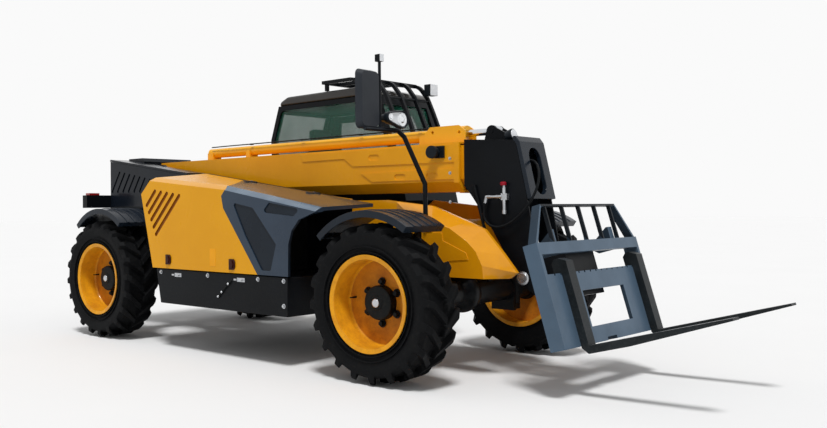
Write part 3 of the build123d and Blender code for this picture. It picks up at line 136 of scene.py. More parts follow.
def coated(name, colour, shade, rough, patch, grain, relief, coat=0.0, metal=0.0, dust=0.2,
           dust_colour="#7D7668", specular=0.35):
    """A painted, moulded or bare finish: broad tone changes, a fine grain in relief, dust that settles low.

    patch and grain are the sizes in metres of the broad and the fine pattern; relief is its height.
    """
    material, tree = blank_material(name)
    place = put(tree, "ShaderNodeTexCoord").outputs["Object"]
    broad = put(tree, "ShaderNodeTexNoise", {"Vector": place, "Scale": 1 / patch, "Detail": 4.0,
                                             "Roughness": 0.6}).outputs[0]
    fine = put(tree, "ShaderNodeTexNoise", {"Vector": place, "Scale": 1 / grain, "Detail": 2.0}).outputs[0]
    tone = mixed(tree, ranged(tree, broad, 0.35, 0.7, 0.0, 1.0), linear(colour), linear(shade))
    height = put(tree, "ShaderNodeSeparateXYZ", {0: place}).outputs[2]
    low_share = ranged(tree, height, *DUST_HEIGHTS, 1.0, 0.12)
    specks = put(tree, "ShaderNodeTexNoise", {"Vector": place, "Scale": 1 / DUST_SPECK, "Detail": 6.0,
                                              "Roughness": 0.7}).outputs[0]
    dusting = put(tree, "ShaderNodeMath", {0: low_share, 1: ranged(tree, specks, 0.5, 0.78, 0.0, dust)},
                  operation="MULTIPLY").outputs[0]
    tone = mixed(tree, dusting, tone, linear(dust_colour))
    bump = put(tree, "ShaderNodeBump", {"Height": fine, "Strength": 0.35, "Distance": relief}).outputs[0]
    shader = put(tree, "ShaderNodeBsdfPrincipled", {
        "Base Color": tone, "Roughness": ranged(tree, broad, 0.3, 0.75, rough - 0.05, rough + 0.07),
        "Metallic": metal, "Specular IOR Level": specular if metal < 0.5 else 0.5,
        "Coat Weight": coat, "Coat Roughness": 0.06, "Normal": bump})
    put(tree, "ShaderNodeOutputMaterial", {"Surface": shader.outputs[0]})
    return material


def clear_pane(name, colour, alpha, rough):
    """Glass or clear moulding: thin, tinted and glossy, with a faint uneven film of dust."""
    material, tree = blank_material(name)
    place = put(tree, "ShaderNodeTexCoord").outputs["Object"]
    film = put(tree, "ShaderNodeTexNoise", {"Vector": place, "Scale": 7.0, "Detail": 5.0}).outputs[0]
    shader = put(tree, "ShaderNodeBsdfPrincipled", {
        "Base Color": linear(colour), "Roughness": ranged(tree, film, 0.35, 0.7, rough, rough + 0.05),
        "IOR": 1.5, "Alpha": ranged(tree, film, 0.3, 0.75, alpha, alpha + 0.07)})
    put(tree, "ShaderNodeOutputMaterial", {"Surface": shader.outputs[0]})
    return material


def rubber(name, dark, dusty, share):
    """Cured rubber: near black and dull, rough in relief, with pale dust caught in its texture."""
    material, tree = blank_material(name)
    place = put(tree, "ShaderNodeTexCoord").outputs["Object"]
    broad = put(tree, "ShaderNodeTexNoise", {"Vector": place, "Scale": 11.0, "Detail": 7.0,
                                             "Roughness": 0.7}).outputs[0]
    fine = put(tree, "ShaderNodeTexNoise", {"Vector": place, "Scale": 240.0, "Detail": 3.0}).outputs[0]
    worn = put(tree, "ShaderNodeTexNoise", {"Vector": place, "Scale": 38.0, "Detail": 5.0}).outputs[0]
    tone = mixed(tree, ranged(tree, broad, 0.45, 0.75, 0.0, share), linear(dark), linear(dusty))
    tone = mixed(tree, ranged(tree, worn, 0.55, 0.7, 0.0, share * 0.7), tone, linear(dusty))
    both = put(tree, "ShaderNodeMath", {0: fine, 1: worn}, operation="ADD").outputs[0]
    bump = put(tree, "ShaderNodeBump", {"Height": both, "Strength": 0.5, "Distance": 0.002}).outputs[0]
    shader = put(tree, "ShaderNodeBsdfPrincipled", {
        "Base Color": tone, "Roughness": ranged(tree, broad, 0.3, 0.7, 0.55, 0.78), "IOR": 1.45,
        "Specular IOR Level": 0.12, "Normal": bump})
    put(tree, "ShaderNodeOutputMaterial", {"Surface": shader.outputs[0]})
    return material


def woven(name, colour, thread):
    """Woven seat cloth: over-and-under threads, drawn three times as coarse as the real 1.5 mm to show."""
    material, tree = blank_material(name)
    place = put(tree, "ShaderNodeTexCoord").outputs["Object"]
    waves = [put(tree, "ShaderNodeTexWave", {"Vector": place, "Scale": 0.31 / thread, "Distortion": 0.6},
                 bands_direction=axis).outputs[1] for axis in ("Y", "Z")]
    weave = put(tree, "ShaderNodeMath", {0: waves[0], 1: waves[1]}, operation="MULTIPLY").outputs[0]
    tone = mixed(tree, weave, linear(colour), linear("#3C4046"))
    bump = put(tree, "ShaderNodeBump", {"Height": weave, "Strength": 0.5, "Distance": 0.001}).outputs[0]
    shader = put(tree, "ShaderNodeBsdfPrincipled", {"Base Color": tone, "Roughness": 0.9,
                                                    "Sheen Weight": 0.25, "Normal": bump})
    put(tree, "ShaderNodeOutputMaterial", {"Surface": shader.outputs[0]})
    return material


FINISH = {
    # sprayed enamel on steel sheet and plate: glossy, with orange peel of about 5 mm in its shine
    "yellow_enamel": coated("enamel_machine_yellow", "#E09E0A", "#D99608", 0.26, 0.6, 0.006, 0.0004,
                            coat=0.12, specular=0.12, dust=0.12),
    # painted light: the boom's copy of the machine yellow is brighter than the hood's, to make up for the
    # shade the boom stands in
    "yellow_boom_painted_light": coated("enamel_machine_yellow_boom", "#F0A60E", "#E4990B", 0.28, 0.5, 0.006, 0.0004,
                          coat=0.12, specular=0.12, dust=0.12),
    "yellow_nose": coated("enamel_machine_yellow_nose", "#E69C0C", "#D68C0A", 0.22, 0.35, 0.006, 0.0004,
                          coat=0.4, specular=0.2, dust=0.15),
    # painted light: a paler, yellower copy of the machine yellow for the barrel, standing in for its
    # highlight and offsetting orange light bounced from the boom
    "yellow_barrel_painted_light": coated("enamel_machine_yellow_barrel", "#F2B21C", "#E8A414", 0.24, 0.5, 0.006, 0.0003,
                            coat=0.2, specular=0.15, dust=0.12),
    # painted reflection: the roof's black enamel is lifted to a brownish grey for the sky on its gloss, with
    # dust on it
    "roof_black_painted_reflection": coated("enamel_black_cab_roof_painted_reflection", "#2C2926", "#211F1D", 0.24, 0.4, 0.005, 0.0004,
                         coat=0.35, specular=0.25, dust=0.3, dust_colour="#8A7E68"),
    "black_enamel": coated("enamel_black_chassis", "#0B0D10", "#101317", 0.34, 0.4, 0.005, 0.0005,
                           specular=0.1, dust=0.05),
    "gloss_black": coated("enamel_black_gloss_cover", "#0E1319", "#131922", 0.2, 0.4, 0.005, 0.0004,
                          coat=0.08, specular=0.15, dust=0.08),
    # painted reflection: the hood panel's top faces take a paler brown-grey for the sky on their gloss
    "hood_top": coated("enamel_dark_gloss_top_painted_reflection", "#4B4741", "#3F3C37", 0.24, 0.5, 0.004, 0.0003,
                       coat=0.22, specular=0.2, dust=0.2),
    "fork_frame_enamel": coated("enamel_grey_blue", "#4C6073", "#435566", 0.4, 0.35, 0.005, 0.0006,
                                coat=0.08, specular=0.2, dust=0.1),
    # painted shade: a darker copy of the frame's grey-blue for its walls that look to the right
    "post_painted_shade": coated("enamel_grey_blue_painted_shade", "#2B3A48", "#25323E", 0.4, 0.35, 0.005, 0.0006,
                          coat=0.05, specular=0.15, dust=0.1),
    # near black for the lamp bodies and bezels; on the load guard's bars it is painted shade over the frame's
    # grey-blue
    "lamp_black_and_guard_shade": coated("enamel_black_lamps_and_guard_bars_painted_shade", "#12171C", "#191F25", 0.38, 0.2, 0.004, 0.0005,
                         specular=0.12, dust=0.05),
    # the same enamel on pressed wheels, duller and stained brown where dust settles; the wheel dish is darker
    # still as painted shade, and the louvre openings are dark orange-brown as painted shade
    "yellow_rim": coated("enamel_wheel_yellow", "#E9A31C", "#C9841C", 0.34, 0.12, 0.004, 0.0005,
                         coat=0.1, dust=0.35, dust_colour="#6B4A24", specular=0.12),
    # dust and painted shade: a darker, browner yellow for the wheel's disc inside the barrel
    "rim_dish_dust_and_shade": coated("enamel_wheel_yellow_dust_and_painted_shade", "#C8801E", "#A8661C", 0.42, 0.10, 0.004, 0.0006,
                       dust=0.45, dust_colour="#5E3C1C", specular=0.1),
    # painted shade: dark orange-brown for the louvre openings in the hood's side
    "louvre_shade": coated("enamel_yellow_shaded_louvre", "#94541A", "#804814", 0.4, 0.1, 0.004, 0.0004,
                           specular=0.1),
    # moulded ABS and polypropylene: a fine leather-like grain with a soft sheen; the hood panel's paler
    # shoulder is a painted highlight, its darker recesses painted shade
    "hood_slate": coated("moulded_slate_hood_panel", "#2C3A4A", "#263342", 0.24, 0.35, 0.004, 0.0004,
                         coat=0.15, specular=0.2, dust=0.06),
    # painted highlight: a paler slate for the hood panel's bevelled shoulder
    "hood_edge_highlight": coated("moulded_slate_painted_highlight_edge", "#5A6C7E", "#4B5C6E", 0.3, 0.2, 0.004, 0.0004,
                        coat=0.1, specular=0.2, dust=0.05),
    # painted shade: a darker slate for the hood panel's pressed recesses
    "hood_recess_shade": coated("moulded_dark_slate_recess_painted_shade", "#121A23", "#18212B", 0.28, 0.35, 0.004, 0.0004,
                          coat=0.08, specular=0.12, dust=0.05),
    "slate_plastic": coated("moulded_slate_plastic", "#121922", "#18212B", 0.26, 0.4, 0.002, 0.0005,
                            coat=0.1, specular=0.15, dust=0.06),
    "mirror_shell": coated("moulded_mirror_shell", "#2A2E34", "#23272D", 0.4, 0.2, 0.002, 0.0004,
                           specular=0.2, dust=0.1),
    "red_cap": coated("moulded_red_cap", "#A3142A", "#8E1022", 0.4, 0.1, 0.002, 0.0003, specular=0.2),
    "latch_brown": coated("moulded_brown_latch", "#3E160E", "#2A100C", 0.4, 0.05, 0.002, 0.0003,
                          specular=0.15),
    # sand-cast iron under dull black paint: a coarse skin that scatters the light
    "cast_dark": coated("cast_iron_dark_paint", "#0C0E0F", "#131516", 0.5, 0.15, 0.003, 0.0012,
                        specular=0.12, dust=0.1),
    # forged and rolled forks: worn black paint, and bare grey steel where loads slide on the blades
    "fork_steel": coated("enamel_black_forks", "#15191B", "#22272A", 0.4, 0.18, 0.004, 0.0007,
                         dust=0.4, dust_colour="#4E4E4C", specular=0.15),
    "blade_steel": coated("rolled_steel_blade_worn", "#6A6C6E", "#55575A", 0.36, 0.15, 0.003, 0.0005,
                          metal=0.3, dust=0.4, dust_colour="#4E4A44"),
    # hard chrome, ground and polished to a mirror; zinc plate, bright with a fine grain
    "chrome_rod": coated("hard_chrome_rod", "#D5D8DC", "#C9CCD1", 0.10, 0.4, 0.01, 0.0001, metal=1.0,
                         dust=0.05),
    "zinc_fitting": coated("zinc_plated_steel", "#C6C8CB", "#AEB1B5", 0.3, 0.1, 0.003, 0.0003, metal=0.9,
                           dust=0.1),
    # moulded polycarbonate lenses with a faint ripple; a reflector coated with aluminium vapour
    "lamp_lens": coated("lamp_lens_clear", "#E6E9EC", "#D2D6DB", 0.10, 0.05, 0.004, 0.0008, coat=0.8,
                        dust=0.03),
    "lamp_red": coated("lamp_lens_red", "#A81818", "#8C1414", 0.15, 0.05, 0.004, 0.0008, coat=0.7, dust=0.1),
    "lamp_bowl": coated("vapour_coated_reflector", "#F2F4F6", "#D4D8DC", 0.16, 0.03, 0.004, 0.0006,
                        metal=0.85, dust=0.0),
    # cured rubber, dull and near black; woven cloth; toughened and tinted glass
    "tyre_rubber": rubber("cured_tyre_rubber", "#07080A", "#1B1B1B", 0.5),
    "hose_rubber": rubber("moulded_hose_rubber", "#0D0F11", "#26292C", 0.4),
    "seat_fabric": woven("woven_seat_cloth", "#1E2125", 0.0045),
    "cab_glass": clear_pane("toughened_glass_tinted", "#1E5A48", 0.38, 0.02),
}


# ---------------------------------------------------------------- mesh helpers
def link(name, mesh, body):
    """Puts a finished mesh in the scene as a piece that rides a body."""
    piece = bpy.data.objects.new(name, mesh)
    bpy.context.collection.objects.link(piece)
    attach(piece, body)
    return piece


def settled(piece):
    """Replaces the piece's mesh by what its modifiers make of it."""
    graph = bpy.context.evaluated_depsgraph_get()
    graph.update()
    mesh = bpy.data.meshes.new_from_object(piece.evaluated_get(graph))
    piece.modifiers.clear()
    piece.data = mesh
    return mesh


def body_with(node):
    """The body that carries a CAD node."""
    return next(b for b, nodes in record["behaviour"]["bodies"].items() if node in nodes)


def slot_of(node):
    """The material slot that the record gives a CAD node."""
    return next(s["material_slot"] for s in record["subparts"] if s["node"] == node)


MERGE_GAP = 2e-5                      # vertices nearer than this are one
FLAT_ANGLE = math.radians(0.7)        # triangles within this angle are one flat face
SHARP_ANGLE = math.radians(22)        # edges past this angle are rounded


def eased(mesh, name, edge, segments=2):
    """Bevels a mesh's sharp edges and weights its normals, so that flat faces stay flat."""
    mesh.shade_smooth()
    piece = bpy.data.objects.new(name, mesh)
    bpy.context.collection.objects.link(piece)
    bevel = piece.modifiers.new("edges", "BEVEL")
    bevel.width = edge
    bevel.segments = segments
    bevel.limit_method = "ANGLE"
    bevel.angle_limit = SHARP_ANGLE
    bevel.harden_normals = True
    weight = piece.modifiers.new("normals", "WEIGHTED_NORMAL")
    weight.keep_sharp = True
    split = piece.modifiers.new("triangles", "TRIANGULATE")
    split.keep_custom_normals = True
    split.min_vertices = 5
    settled(piece)
    return piece


def refine(node, finish=None, edge=0.003, segments=2, zones=(), flats=True):
    """A copy of a CAD node with its doubles merged and its edges rounded, which stands for it.

    zones holds (finish, test) pairs; a face whose middle, normal and corners pass the test takes that
    finish. Their x counts from the middle of the wheelbase. flats merges a flat face's triangles first.
    """
    bm = bmesh.new()
    bm.from_mesh(frame["nodes"][node].data)
    bmesh.ops.remove_doubles(bm, verts=bm.verts, dist=MERGE_GAP)
    if flats:
        bmesh.ops.dissolve_limit(bm, angle_limit=FLAT_ANGLE, verts=bm.verts, edges=bm.edges)
    bm.normal_update()
    mesh = bpy.data.meshes.new(node + "_skin")
    bm.to_mesh(mesh)
    bm.free()
    piece = eased(mesh, mesh.name, edge, segments)
    mesh = piece.data
    mesh.materials.clear()
    mesh.materials.append(FINISH[finish or slot_of(node)])
    for extra, _ in zones:
        mesh.materials.append(FINISH[extra])
    for face in mesh.polygons:
        corners = [mesh.vertices[i].co - Vector((X_MID, 0.0, 0.0)) for i in face.vertices]
        place = sum(corners, Vector()) / len(corners)
        face.material_index = next((i + 1 for i, (_, test) in enumerate(zones)
                                    if test(place, face.normal, corners)), 0)
    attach(piece, body_with(node))
    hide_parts(node)
    return piece


def facing(origin, outward, up=(0.0, 0.0, 1.0)):
    """Placement whose z runs outward and whose y leans to up.

    The origin's x counts from the middle of the wheelbase.
    """
    z = Vector(outward).normalized()
    x = Vector(up).cross(z).normalized()
    turn = Matrix((x, z.cross(x), z)).transposed().to_4x4()
    return Matrix.Translation(Vector(origin) + Vector((X_MID, 0.0, 0.0))) @ turn


def turned(bm, profile, place, steps=28):
    """Adds a turned shape: profile is (radius, height) pairs about the placement's z, closed at both ends."""
    rings = []
    for radius, height in profile:
        rings.append([bm.verts.new(place @ Vector((radius * math.cos(a), radius * math.sin(a), height)))
                      for a in (math.tau * i / steps for i in range(steps))])
    for low_ring, high_ring in zip(rings, rings[1:]):
        for i in range(steps):
            j = (i + 1) % steps
            bm.faces.new((low_ring[i], low_ring[j], high_ring[j], high_ring[i]))
    bm.faces.new(rings[0][::-1])
    bm.faces.new(rings[-1])


def block(half_x, half_y):
    """Outline of a rectangle about the origin."""
    return [(-half_x, -half_y), (half_x, -half_y), (half_x, half_y), (-half_x, half_y)]


def slab(bm, outline, place, low, high):
    """Adds a plate: outline is (x, y) points in the placement, which runs from low to high along its z."""
    floors = [[bm.verts.new(place @ Vector((x, y, z))) for x, y in outline] for z in (low, high)]
    count = len(outline)
    for i in range(count):
        j = (i + 1) % count
        bm.faces.new((floors[0][i], floors[0][j], floors[1][j], floors[1][i]))
    bm.faces.new(floors[0][::-1])
    bm.faces.new(floors[1])


def rod(bm, points, radius, steps=12):
    """Adds a round bar along points, whose x counts from the wheelbase's middle."""
    route = [Vector(p) for p in points]
    rings = []
    for i, point in enumerate(route):
        ahead = (route[min(i + 1, len(route) - 1)] - route[max(i - 1, 0)]).normalized()
        place = facing(point, ahead, (0.3, 0.9, 0.31))
        rings.append([bm.verts.new(place @ Vector((radius * math.cos(a), radius * math.sin(a), 0.0)))
                      for a in (math.tau * k / steps for k in range(steps))])
    for one, two in zip(rings, rings[1:]):
        for i in range(steps):
            j = (i + 1) % steps
            bm.faces.new((one[i], one[j], two[j], two[i]))
    bm.faces.new(rings[0][::-1])
    bm.faces.new(rings[-1])


def fitted(name, bm, body, finish, edge=0.0015):
    """Turns a bmesh into a finished piece that rides a body."""
    bmesh.ops.recalc_face_normals(bm, faces=bm.faces)
    mesh = bpy.data.meshes.new(name)
    bm.to_mesh(mesh)
    bm.free()
    piece = eased(mesh, name, edge)
    piece.data.materials.clear()
    piece.data.materials.append(FINISH[finish])
    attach(piece, body)
    return piece



# ---------------------------------------------------------------- the loop hose
HOSE_DIAMETER = 0.018
# from the couplings under the head, round its front and back into the cover's slot; x from the tilt pin
HOSE_ROUTE = [(X_TILT + x, y, z) for x, y, z in [
    (-0.308, -0.193, 1.219), (-0.326, -0.193, 1.152), (-0.307, -0.196, 1.088), (-0.252, -0.200, 1.050),
    (-0.175, -0.203, 1.048), (-0.090, -0.205, 1.083), (-0.005, -0.204, 1.150), (0.062, -0.194, 1.240),
    (0.094, -0.170, 1.335), (0.084, -0.132, 1.424), (0.038, -0.088, 1.492), (-0.024, -0.050, 1.520),
    (-0.088, -0.050, 1.520)]]


def lay_hose():
    """Lays the hose along its route as a round tube with closed ends, riding the sliding boom."""
    curve = bpy.data.curves.new("hose_line", "CURVE")
    curve.dimensions = "3D"
    spline = curve.splines.new("NURBS")
    spline.points.add(len(HOSE_ROUTE) - 1)
    for point, place in zip(spline.points, HOSE_ROUTE):
        point.co = (*place, 1.0)
    spline.order_u = 3
    spline.use_endpoint_u = True
    spline.resolution_u = 12
    curve.bevel_depth = HOSE_DIAMETER / 2
    curve.bevel_resolution = 6
    curve.use_fill_caps = True
    curve.materials.append(FINISH["hose_rubber"])
    hose = bpy.data.objects.new("loop_hose_line", curve)
    bpy.context.collection.objects.link(hose)
    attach(hose, "boom_slide")
    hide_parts("loop_hose")


lay_hose()


# ---------------------------------------------------------------- the CAD nodes' finishes
def in_nose(middle, normal, corners):
    """The yellow nose boxes of the chassis, ahead of the hood."""
    return middle.x > 0.75 and middle.z > 0.62


def in_louvre(middle, normal, corners):
    """The slanted openings in the hood's side, given a dark orange-brown as painted shade."""
    return middle.x < -0.35 and middle.z > 0.95 and HOOD_SIDE + 0.002 < middle.y < HOOD_SIDE + 0.03


def in_recess(middle, normal, corners):
    """The pressed recesses of the hood's front panel, made darker as painted shade."""
    return middle.z < 1.25 and HOOD_SIDE + 0.006 < middle.y < HOOD_SIDE + 0.02


def on_hood_top(middle, normal, corners):
    """The level top of the hood's front panel, given a paler brown-grey as a painted reflection."""
    return normal.z > 0.8 and middle.y > HOOD_SIDE + 0.06


def on_panel_edge(middle, normal, corners):
    """The hood panel's bevelled shoulder, given a paler slate as a painted highlight."""
    return normal.z > 0.25 and normal.y < -0.25 and middle.y < HOOD_SIDE + 0.10


def farthest(axle, corners):
    """The greatest distance of a face's corners from a wheel's axis."""
    return max(math.hypot(c.x - AXLE[axle].x + X_MID, c.z - WHEEL_Z) for c in corners)


def in_hub(axle):
    """Test for the black hub and its cap on a wheel."""
    return lambda middle, normal, corners: farthest(axle, corners) < 0.1195


def in_dish(axle):
    """Test for the wheel's disc, inside the barrel, which takes dust and painted shade."""
    return lambda middle, normal, corners: abs(normal.y) > 0.7 and farthest(axle, corners) < 0.315


def on_guard_bar(middle, normal, corners):
    """The load guard's upright bars and their top bar, which stand above the frame's own top; coloured near
    black as painted shade.
    """
    return max(corner.z for corner in corners) > 1.10 and abs(middle.y) < 0.48


def on_post_side(middle, normal, corners):
    """The frame's walls that look to the right, short of its outer side; coloured a darker blue as painted
    shade.
    """
    return normal.y < -0.7 and abs(middle.y) < 0.62


def on_blade_top(middle, normal, corners):
    """The level top of the fork blades, past their heels."""
    return normal.z > 0.9 and middle.x > 2.80


def on_front_lens(middle, normal, corners):
    """The front faces of the headlamps."""
    return normal.x > 0.9 and middle.x > 0


def on_tail_lamp(middle, normal, corners):
    """The red lamps at the rear."""
    return middle.x < -1.0


def on_mirror_glass(middle, normal, corners):
    """The mirror's rear face."""
    return normal.x < -0.9 and middle.y < -0.85 and 1.75 < middle.z < 2.15


def on_mirror_shell(middle, normal, corners):
    """The mirror's moulded housing."""
    return middle.x < 1.575 and abs(middle.y + 0.94) < 0.11 and 1.735 < middle.z < 2.16


def on_marker_lens(middle, normal, corners):
    """The front of the small lamp at the top of the mirror's arm."""
    return normal.x > 0.9 and middle.z > 2.2


refine("chassis_frame", "black_enamel", edge=0.002, zones=[("yellow_nose", in_nose)])
refine("hood_cover", "yellow_enamel", edge=0.006, zones=[("louvre_shade", in_louvre)])
refine("hood_front_panel", "hood_slate", edge=0.007,
       zones=[("hood_recess_shade", in_recess), ("hood_top", on_hood_top), ("hood_edge_highlight", on_panel_edge)])
refine("outer_boom", "yellow_boom_painted_light", edge=0.0012)
refine("extension_barrel", "yellow_barrel_painted_light")
refine("inner_boom", "yellow_boom_painted_light")
refine("rear_cover", "gloss_black", edge=0.004)
refine("rear_bumper", "black_enamel", edge=0.005)
refine("fork_frame", "fork_frame_enamel", edge=0.004,
       zones=[("lamp_black_and_guard_shade", on_guard_bar), ("post_painted_shade", on_post_side)])
refine("forks", "fork_steel", edge=0.003, zones=[("blade_steel", on_blade_top)])
refine("boom_lamp", "lamp_black_and_guard_shade")
refine("hose_couplings", "zinc_fitting", edge=0.001)
refine("lamps", "lamp_black_and_guard_shade", edge=0.004, zones=[("lamp_lens", on_front_lens), ("lamp_red", on_tail_lamp)])
refine("mirror_arms", "black_enamel", edge=0.004,
       zones=[("chrome_rod", on_mirror_glass), ("mirror_shell", on_mirror_shell),
              ("lamp_lens", on_marker_lens)])
for plain, edge in (("front_axle", 0.003), ("rear_axle", 0.003), ("engine_block", 0.004),
                    ("side_skirt", 0.005), ("cab_shell", 0.008), ("cab_door", 0.006),
                    ("steering_column", 0.003), ("cab_guard", 0.003), ("side_tank", 0.008),
                    ("boom_head", 0.004), ("head_cover", 0.006), ("lift_barrel", 0.003),
                    ("tilt_barrel", 0.003), ("tool_carrier", 0.003)):
    refine(plain, edge=edge)
refine("cab_roof", "roof_black_painted_reflection", edge=0.04, segments=4)
for name in AXLE:
    refine("knuckle_" + name)
    refine("fender_" + name, "slate_plastic", edge=0.002, flats=False)
    refine("tyre_" + name, edge=0.004)
    refine("rim_" + name, "yellow_rim", zones=[("cast_dark", in_hub(name)), ("rim_dish_dust_and_shade", in_dish(name))])
# rods and panes keep their own mesh and take their slot's finish
for node, thing in frame["nodes"].items():
    if slot_of(node) in ("chrome_rod", "cab_glass"):
        thing.data.materials.clear()
        thing.data.materials.append(FINISH[slot_of(node)])


# ---------------------------------------------------------------- seat cushions
def cushion(name, size, centre, tilt, crown, channels):
    """A stuffed pad: crowned on its outer face, drawn in at its sides, with sewn channels and piping.

    size is length, width and thickness; tilt turns it about y; channels are places across its width.
    """
    cuts = 26
    seam_depth, piping_height, drawn_in = 0.012, 0.006, 0.035
    bm = bmesh.new()
    bmesh.ops.create_cube(bm, size=2.0)
    bmesh.ops.subdivide_edges(bm, edges=bm.edges, cuts=cuts, use_grid_fill=True)
    turn = Matrix.Rotation(math.radians(tilt), 4, "Y")
    for vert in bm.verts:
        x, y, z = vert.co
        shrink = (abs(x) ** 7 + abs(y) ** 7 + abs(z) ** 7) ** (1 / 7)
        dome = crown * (1 - x * x) * (1 - y * y) * (1 if z > 0 else 0.15) * z
        seam = sum(seam_depth * math.exp(-((y - c) / 0.05) ** 2) for c in channels) if z > 0 else 0.0
        piping = piping_height * math.exp(-((z - 0.45) / 0.08) ** 2) if max(abs(x), abs(y)) > 0.9 else 0.0
        pull = 1 - drawn_in * (1 - min(abs(x), abs(y)) ** 2) * (1 - z * z)
        place = Vector((x / shrink * size[0] / 2 * pull + math.copysign(piping, x) * (abs(x) > 0.9),
                        y / shrink * size[1] / 2 * pull + math.copysign(piping, y) * (abs(y) > 0.9),
                        z / shrink * size[2] / 2 + dome - seam * (1 - x * x) ** 0.3))
        vert.co = turn @ place + Vector(centre) + Vector((X_MID, 0.0, 0.0))
    bmesh.ops.recalc_face_normals(bm, faces=bm.faces)
    mesh = bpy.data.meshes.new(name)
    bm.to_mesh(mesh)
    bm.free()
    mesh.shade_smooth()
    mesh.materials.append(FINISH["seat_fabric"])
    pad = link(name, mesh, "chassis")
    return pad


SEAT_Y = (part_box("seat")[0][1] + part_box("seat")[1][1]) / 2
cushion("seat_base_pad", (0.50, 0.50, 0.12), (-0.205, SEAT_Y, 1.165), 0, 0.016, (-0.4, 0.4))
cushion("seat_back_pad", (0.60, 0.47, 0.105), (-0.395, SEAT_Y, 1.455), 82.5, 0.014, (-0.4, 0.4))
cushion("seat_head_pad", (0.20, 0.26, 0.07), (-0.450, SEAT_Y, 1.858), 84, 0.008, ())


def seat_stand():
    """Suspension box under the seat with its bellows ribs, and the head rest's stalks."""
    bm = bmesh.new()
    stand = facing((-0.23, SEAT_Y, 0.80), (0, 0, 1), (0, 1, 0))
    for low, high, half in ((0.0, 0.05, 0.20), (0.26, 0.30, 0.19)):
        slab(bm, block(half, half), stand, low, high)
    for i in range(5):
        base, half = 0.052 + 0.041 * i, 0.168
        slab(bm, block(half, half), stand, base, base + 0.012)
        slab(bm, block(half - 0.02, half - 0.02), stand, base + 0.0125, base + 0.0405)
    for side in (-0.06, 0.06):
        rod(bm, [(-0.425, SEAT_Y + side, 1.70), (-0.452, SEAT_Y + side, 1.85)], 0.007)
    piece = fitted("seat_stand", bm, "chassis", "black_enamel")
    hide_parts("seat")


seat_stand()


# ---------------------------------------------------------------- fasteners
def fastener_tree():
    """Hexagon heads on washers, set on a ring or along a row, as real geometry with one material."""
    tree = bpy.data.node_groups.new("fasteners_on_points", "GeometryNodeTree")
    sockets = {}
    for label, kind in (("Ring", "Bool"), ("Count", "Int"), ("Ring Radius", "Float"), ("Row Step", "Float"),
                        ("Head Radius", "Float"), ("Head Height", "Float"), ("Finish", "Material")):
        sockets[label] = tree.interface.new_socket(name=label, in_out="INPUT",
                                                   socket_type="NodeSocket" + kind).identifier
    tree.interface.new_socket(name="Geometry", in_out="OUTPUT", socket_type="NodeSocketGeometry")
    given = put(tree, "NodeGroupInput").outputs
    ring = put(tree, "GeometryNodeMeshCircle", {"Vertices": given["Count"], "Radius": given["Ring Radius"]})
    step = put(tree, "ShaderNodeCombineXYZ", {0: given["Row Step"]}).outputs[0]
    row = put(tree, "GeometryNodeMeshLine", {"Count": given["Count"], "Offset": step})
    points = put(tree, "GeometryNodeSwitch", {"Switch": given["Ring"], "False": row.outputs[0],
                                              "True": ring.outputs[0]}, input_type="GEOMETRY").outputs[0]
    wide = put(tree, "ShaderNodeMath", {0: given["Head Radius"], 1: 1.35}, operation="MULTIPLY").outputs[0]
    thin = put(tree, "ShaderNodeMath", {0: given["Head Height"], 1: 0.2}, operation="MULTIPLY").outputs[0]
    narrow = put(tree, "ShaderNodeMath", {0: given["Head Radius"], 1: 0.82}, operation="MULTIPLY").outputs[0]
    washer = put(tree, "GeometryNodeMeshCylinder", {"Vertices": 20, "Radius": wide, "Depth": thin}).outputs[0]
    head = put(tree, "GeometryNodeMeshCone", {"Vertices": 6, "Radius Top": narrow,
                                              "Radius Bottom": given["Head Radius"],
                                              "Depth": given["Head Height"]}).outputs[0]
    join = put(tree, "GeometryNodeJoinGeometry")
    tree.links.new(washer, join.inputs[0])
    tree.links.new(head, join.inputs[0])
    spread = put(tree, "GeometryNodeInstanceOnPoints", {"Points": points, "Instance": join.outputs[0]})
    real = put(tree, "GeometryNodeRealizeInstances", {0: spread.outputs[0]})
    done = put(tree, "GeometryNodeSetMaterial", {"Geometry": real.outputs[0], "Material": given["Finish"]})
    put(tree, "NodeGroupOutput", {0: done.outputs[0]})
    return tree, sockets


FASTENERS, FASTENER_INPUTS = fastener_tree()


def fasteners(place, count, head, finish, ring=0.0, step=0.0):
    """Mesh of fasteners in a placement: on a ring of that radius, or along its x by that step."""
    piece = bpy.data.objects.new("fasteners", bpy.data.meshes.new("fasteners"))
    bpy.context.collection.objects.link(piece)
    modifier = piece.modifiers.new("set", "NODES")
    modifier.node_group = FASTENERS
    for label, value in (("Ring", ring > 0), ("Count", count), ("Ring Radius", ring), ("Row Step", step),
                         ("Head Radius", head[0]), ("Head Height", head[1]), ("Finish", FINISH[finish])):
        modifier[FASTENER_INPUTS[label]] = value
    mesh = settled(piece)
    mesh.transform(place)
    bpy.data.objects.remove(piece)
    return mesh


def fasten(name, meshes, body):
    """Joins meshes of fasteners into one piece on a body."""
    bm = bmesh.new()
    for mesh in meshes:
        bm.from_mesh(mesh)
    joined = bpy.data.meshes.new(name)
    bm.to_mesh(joined)
    bm.free()
    for material in meshes[0].materials:
        joined.materials.append(material)
    return link(name, joined, body)


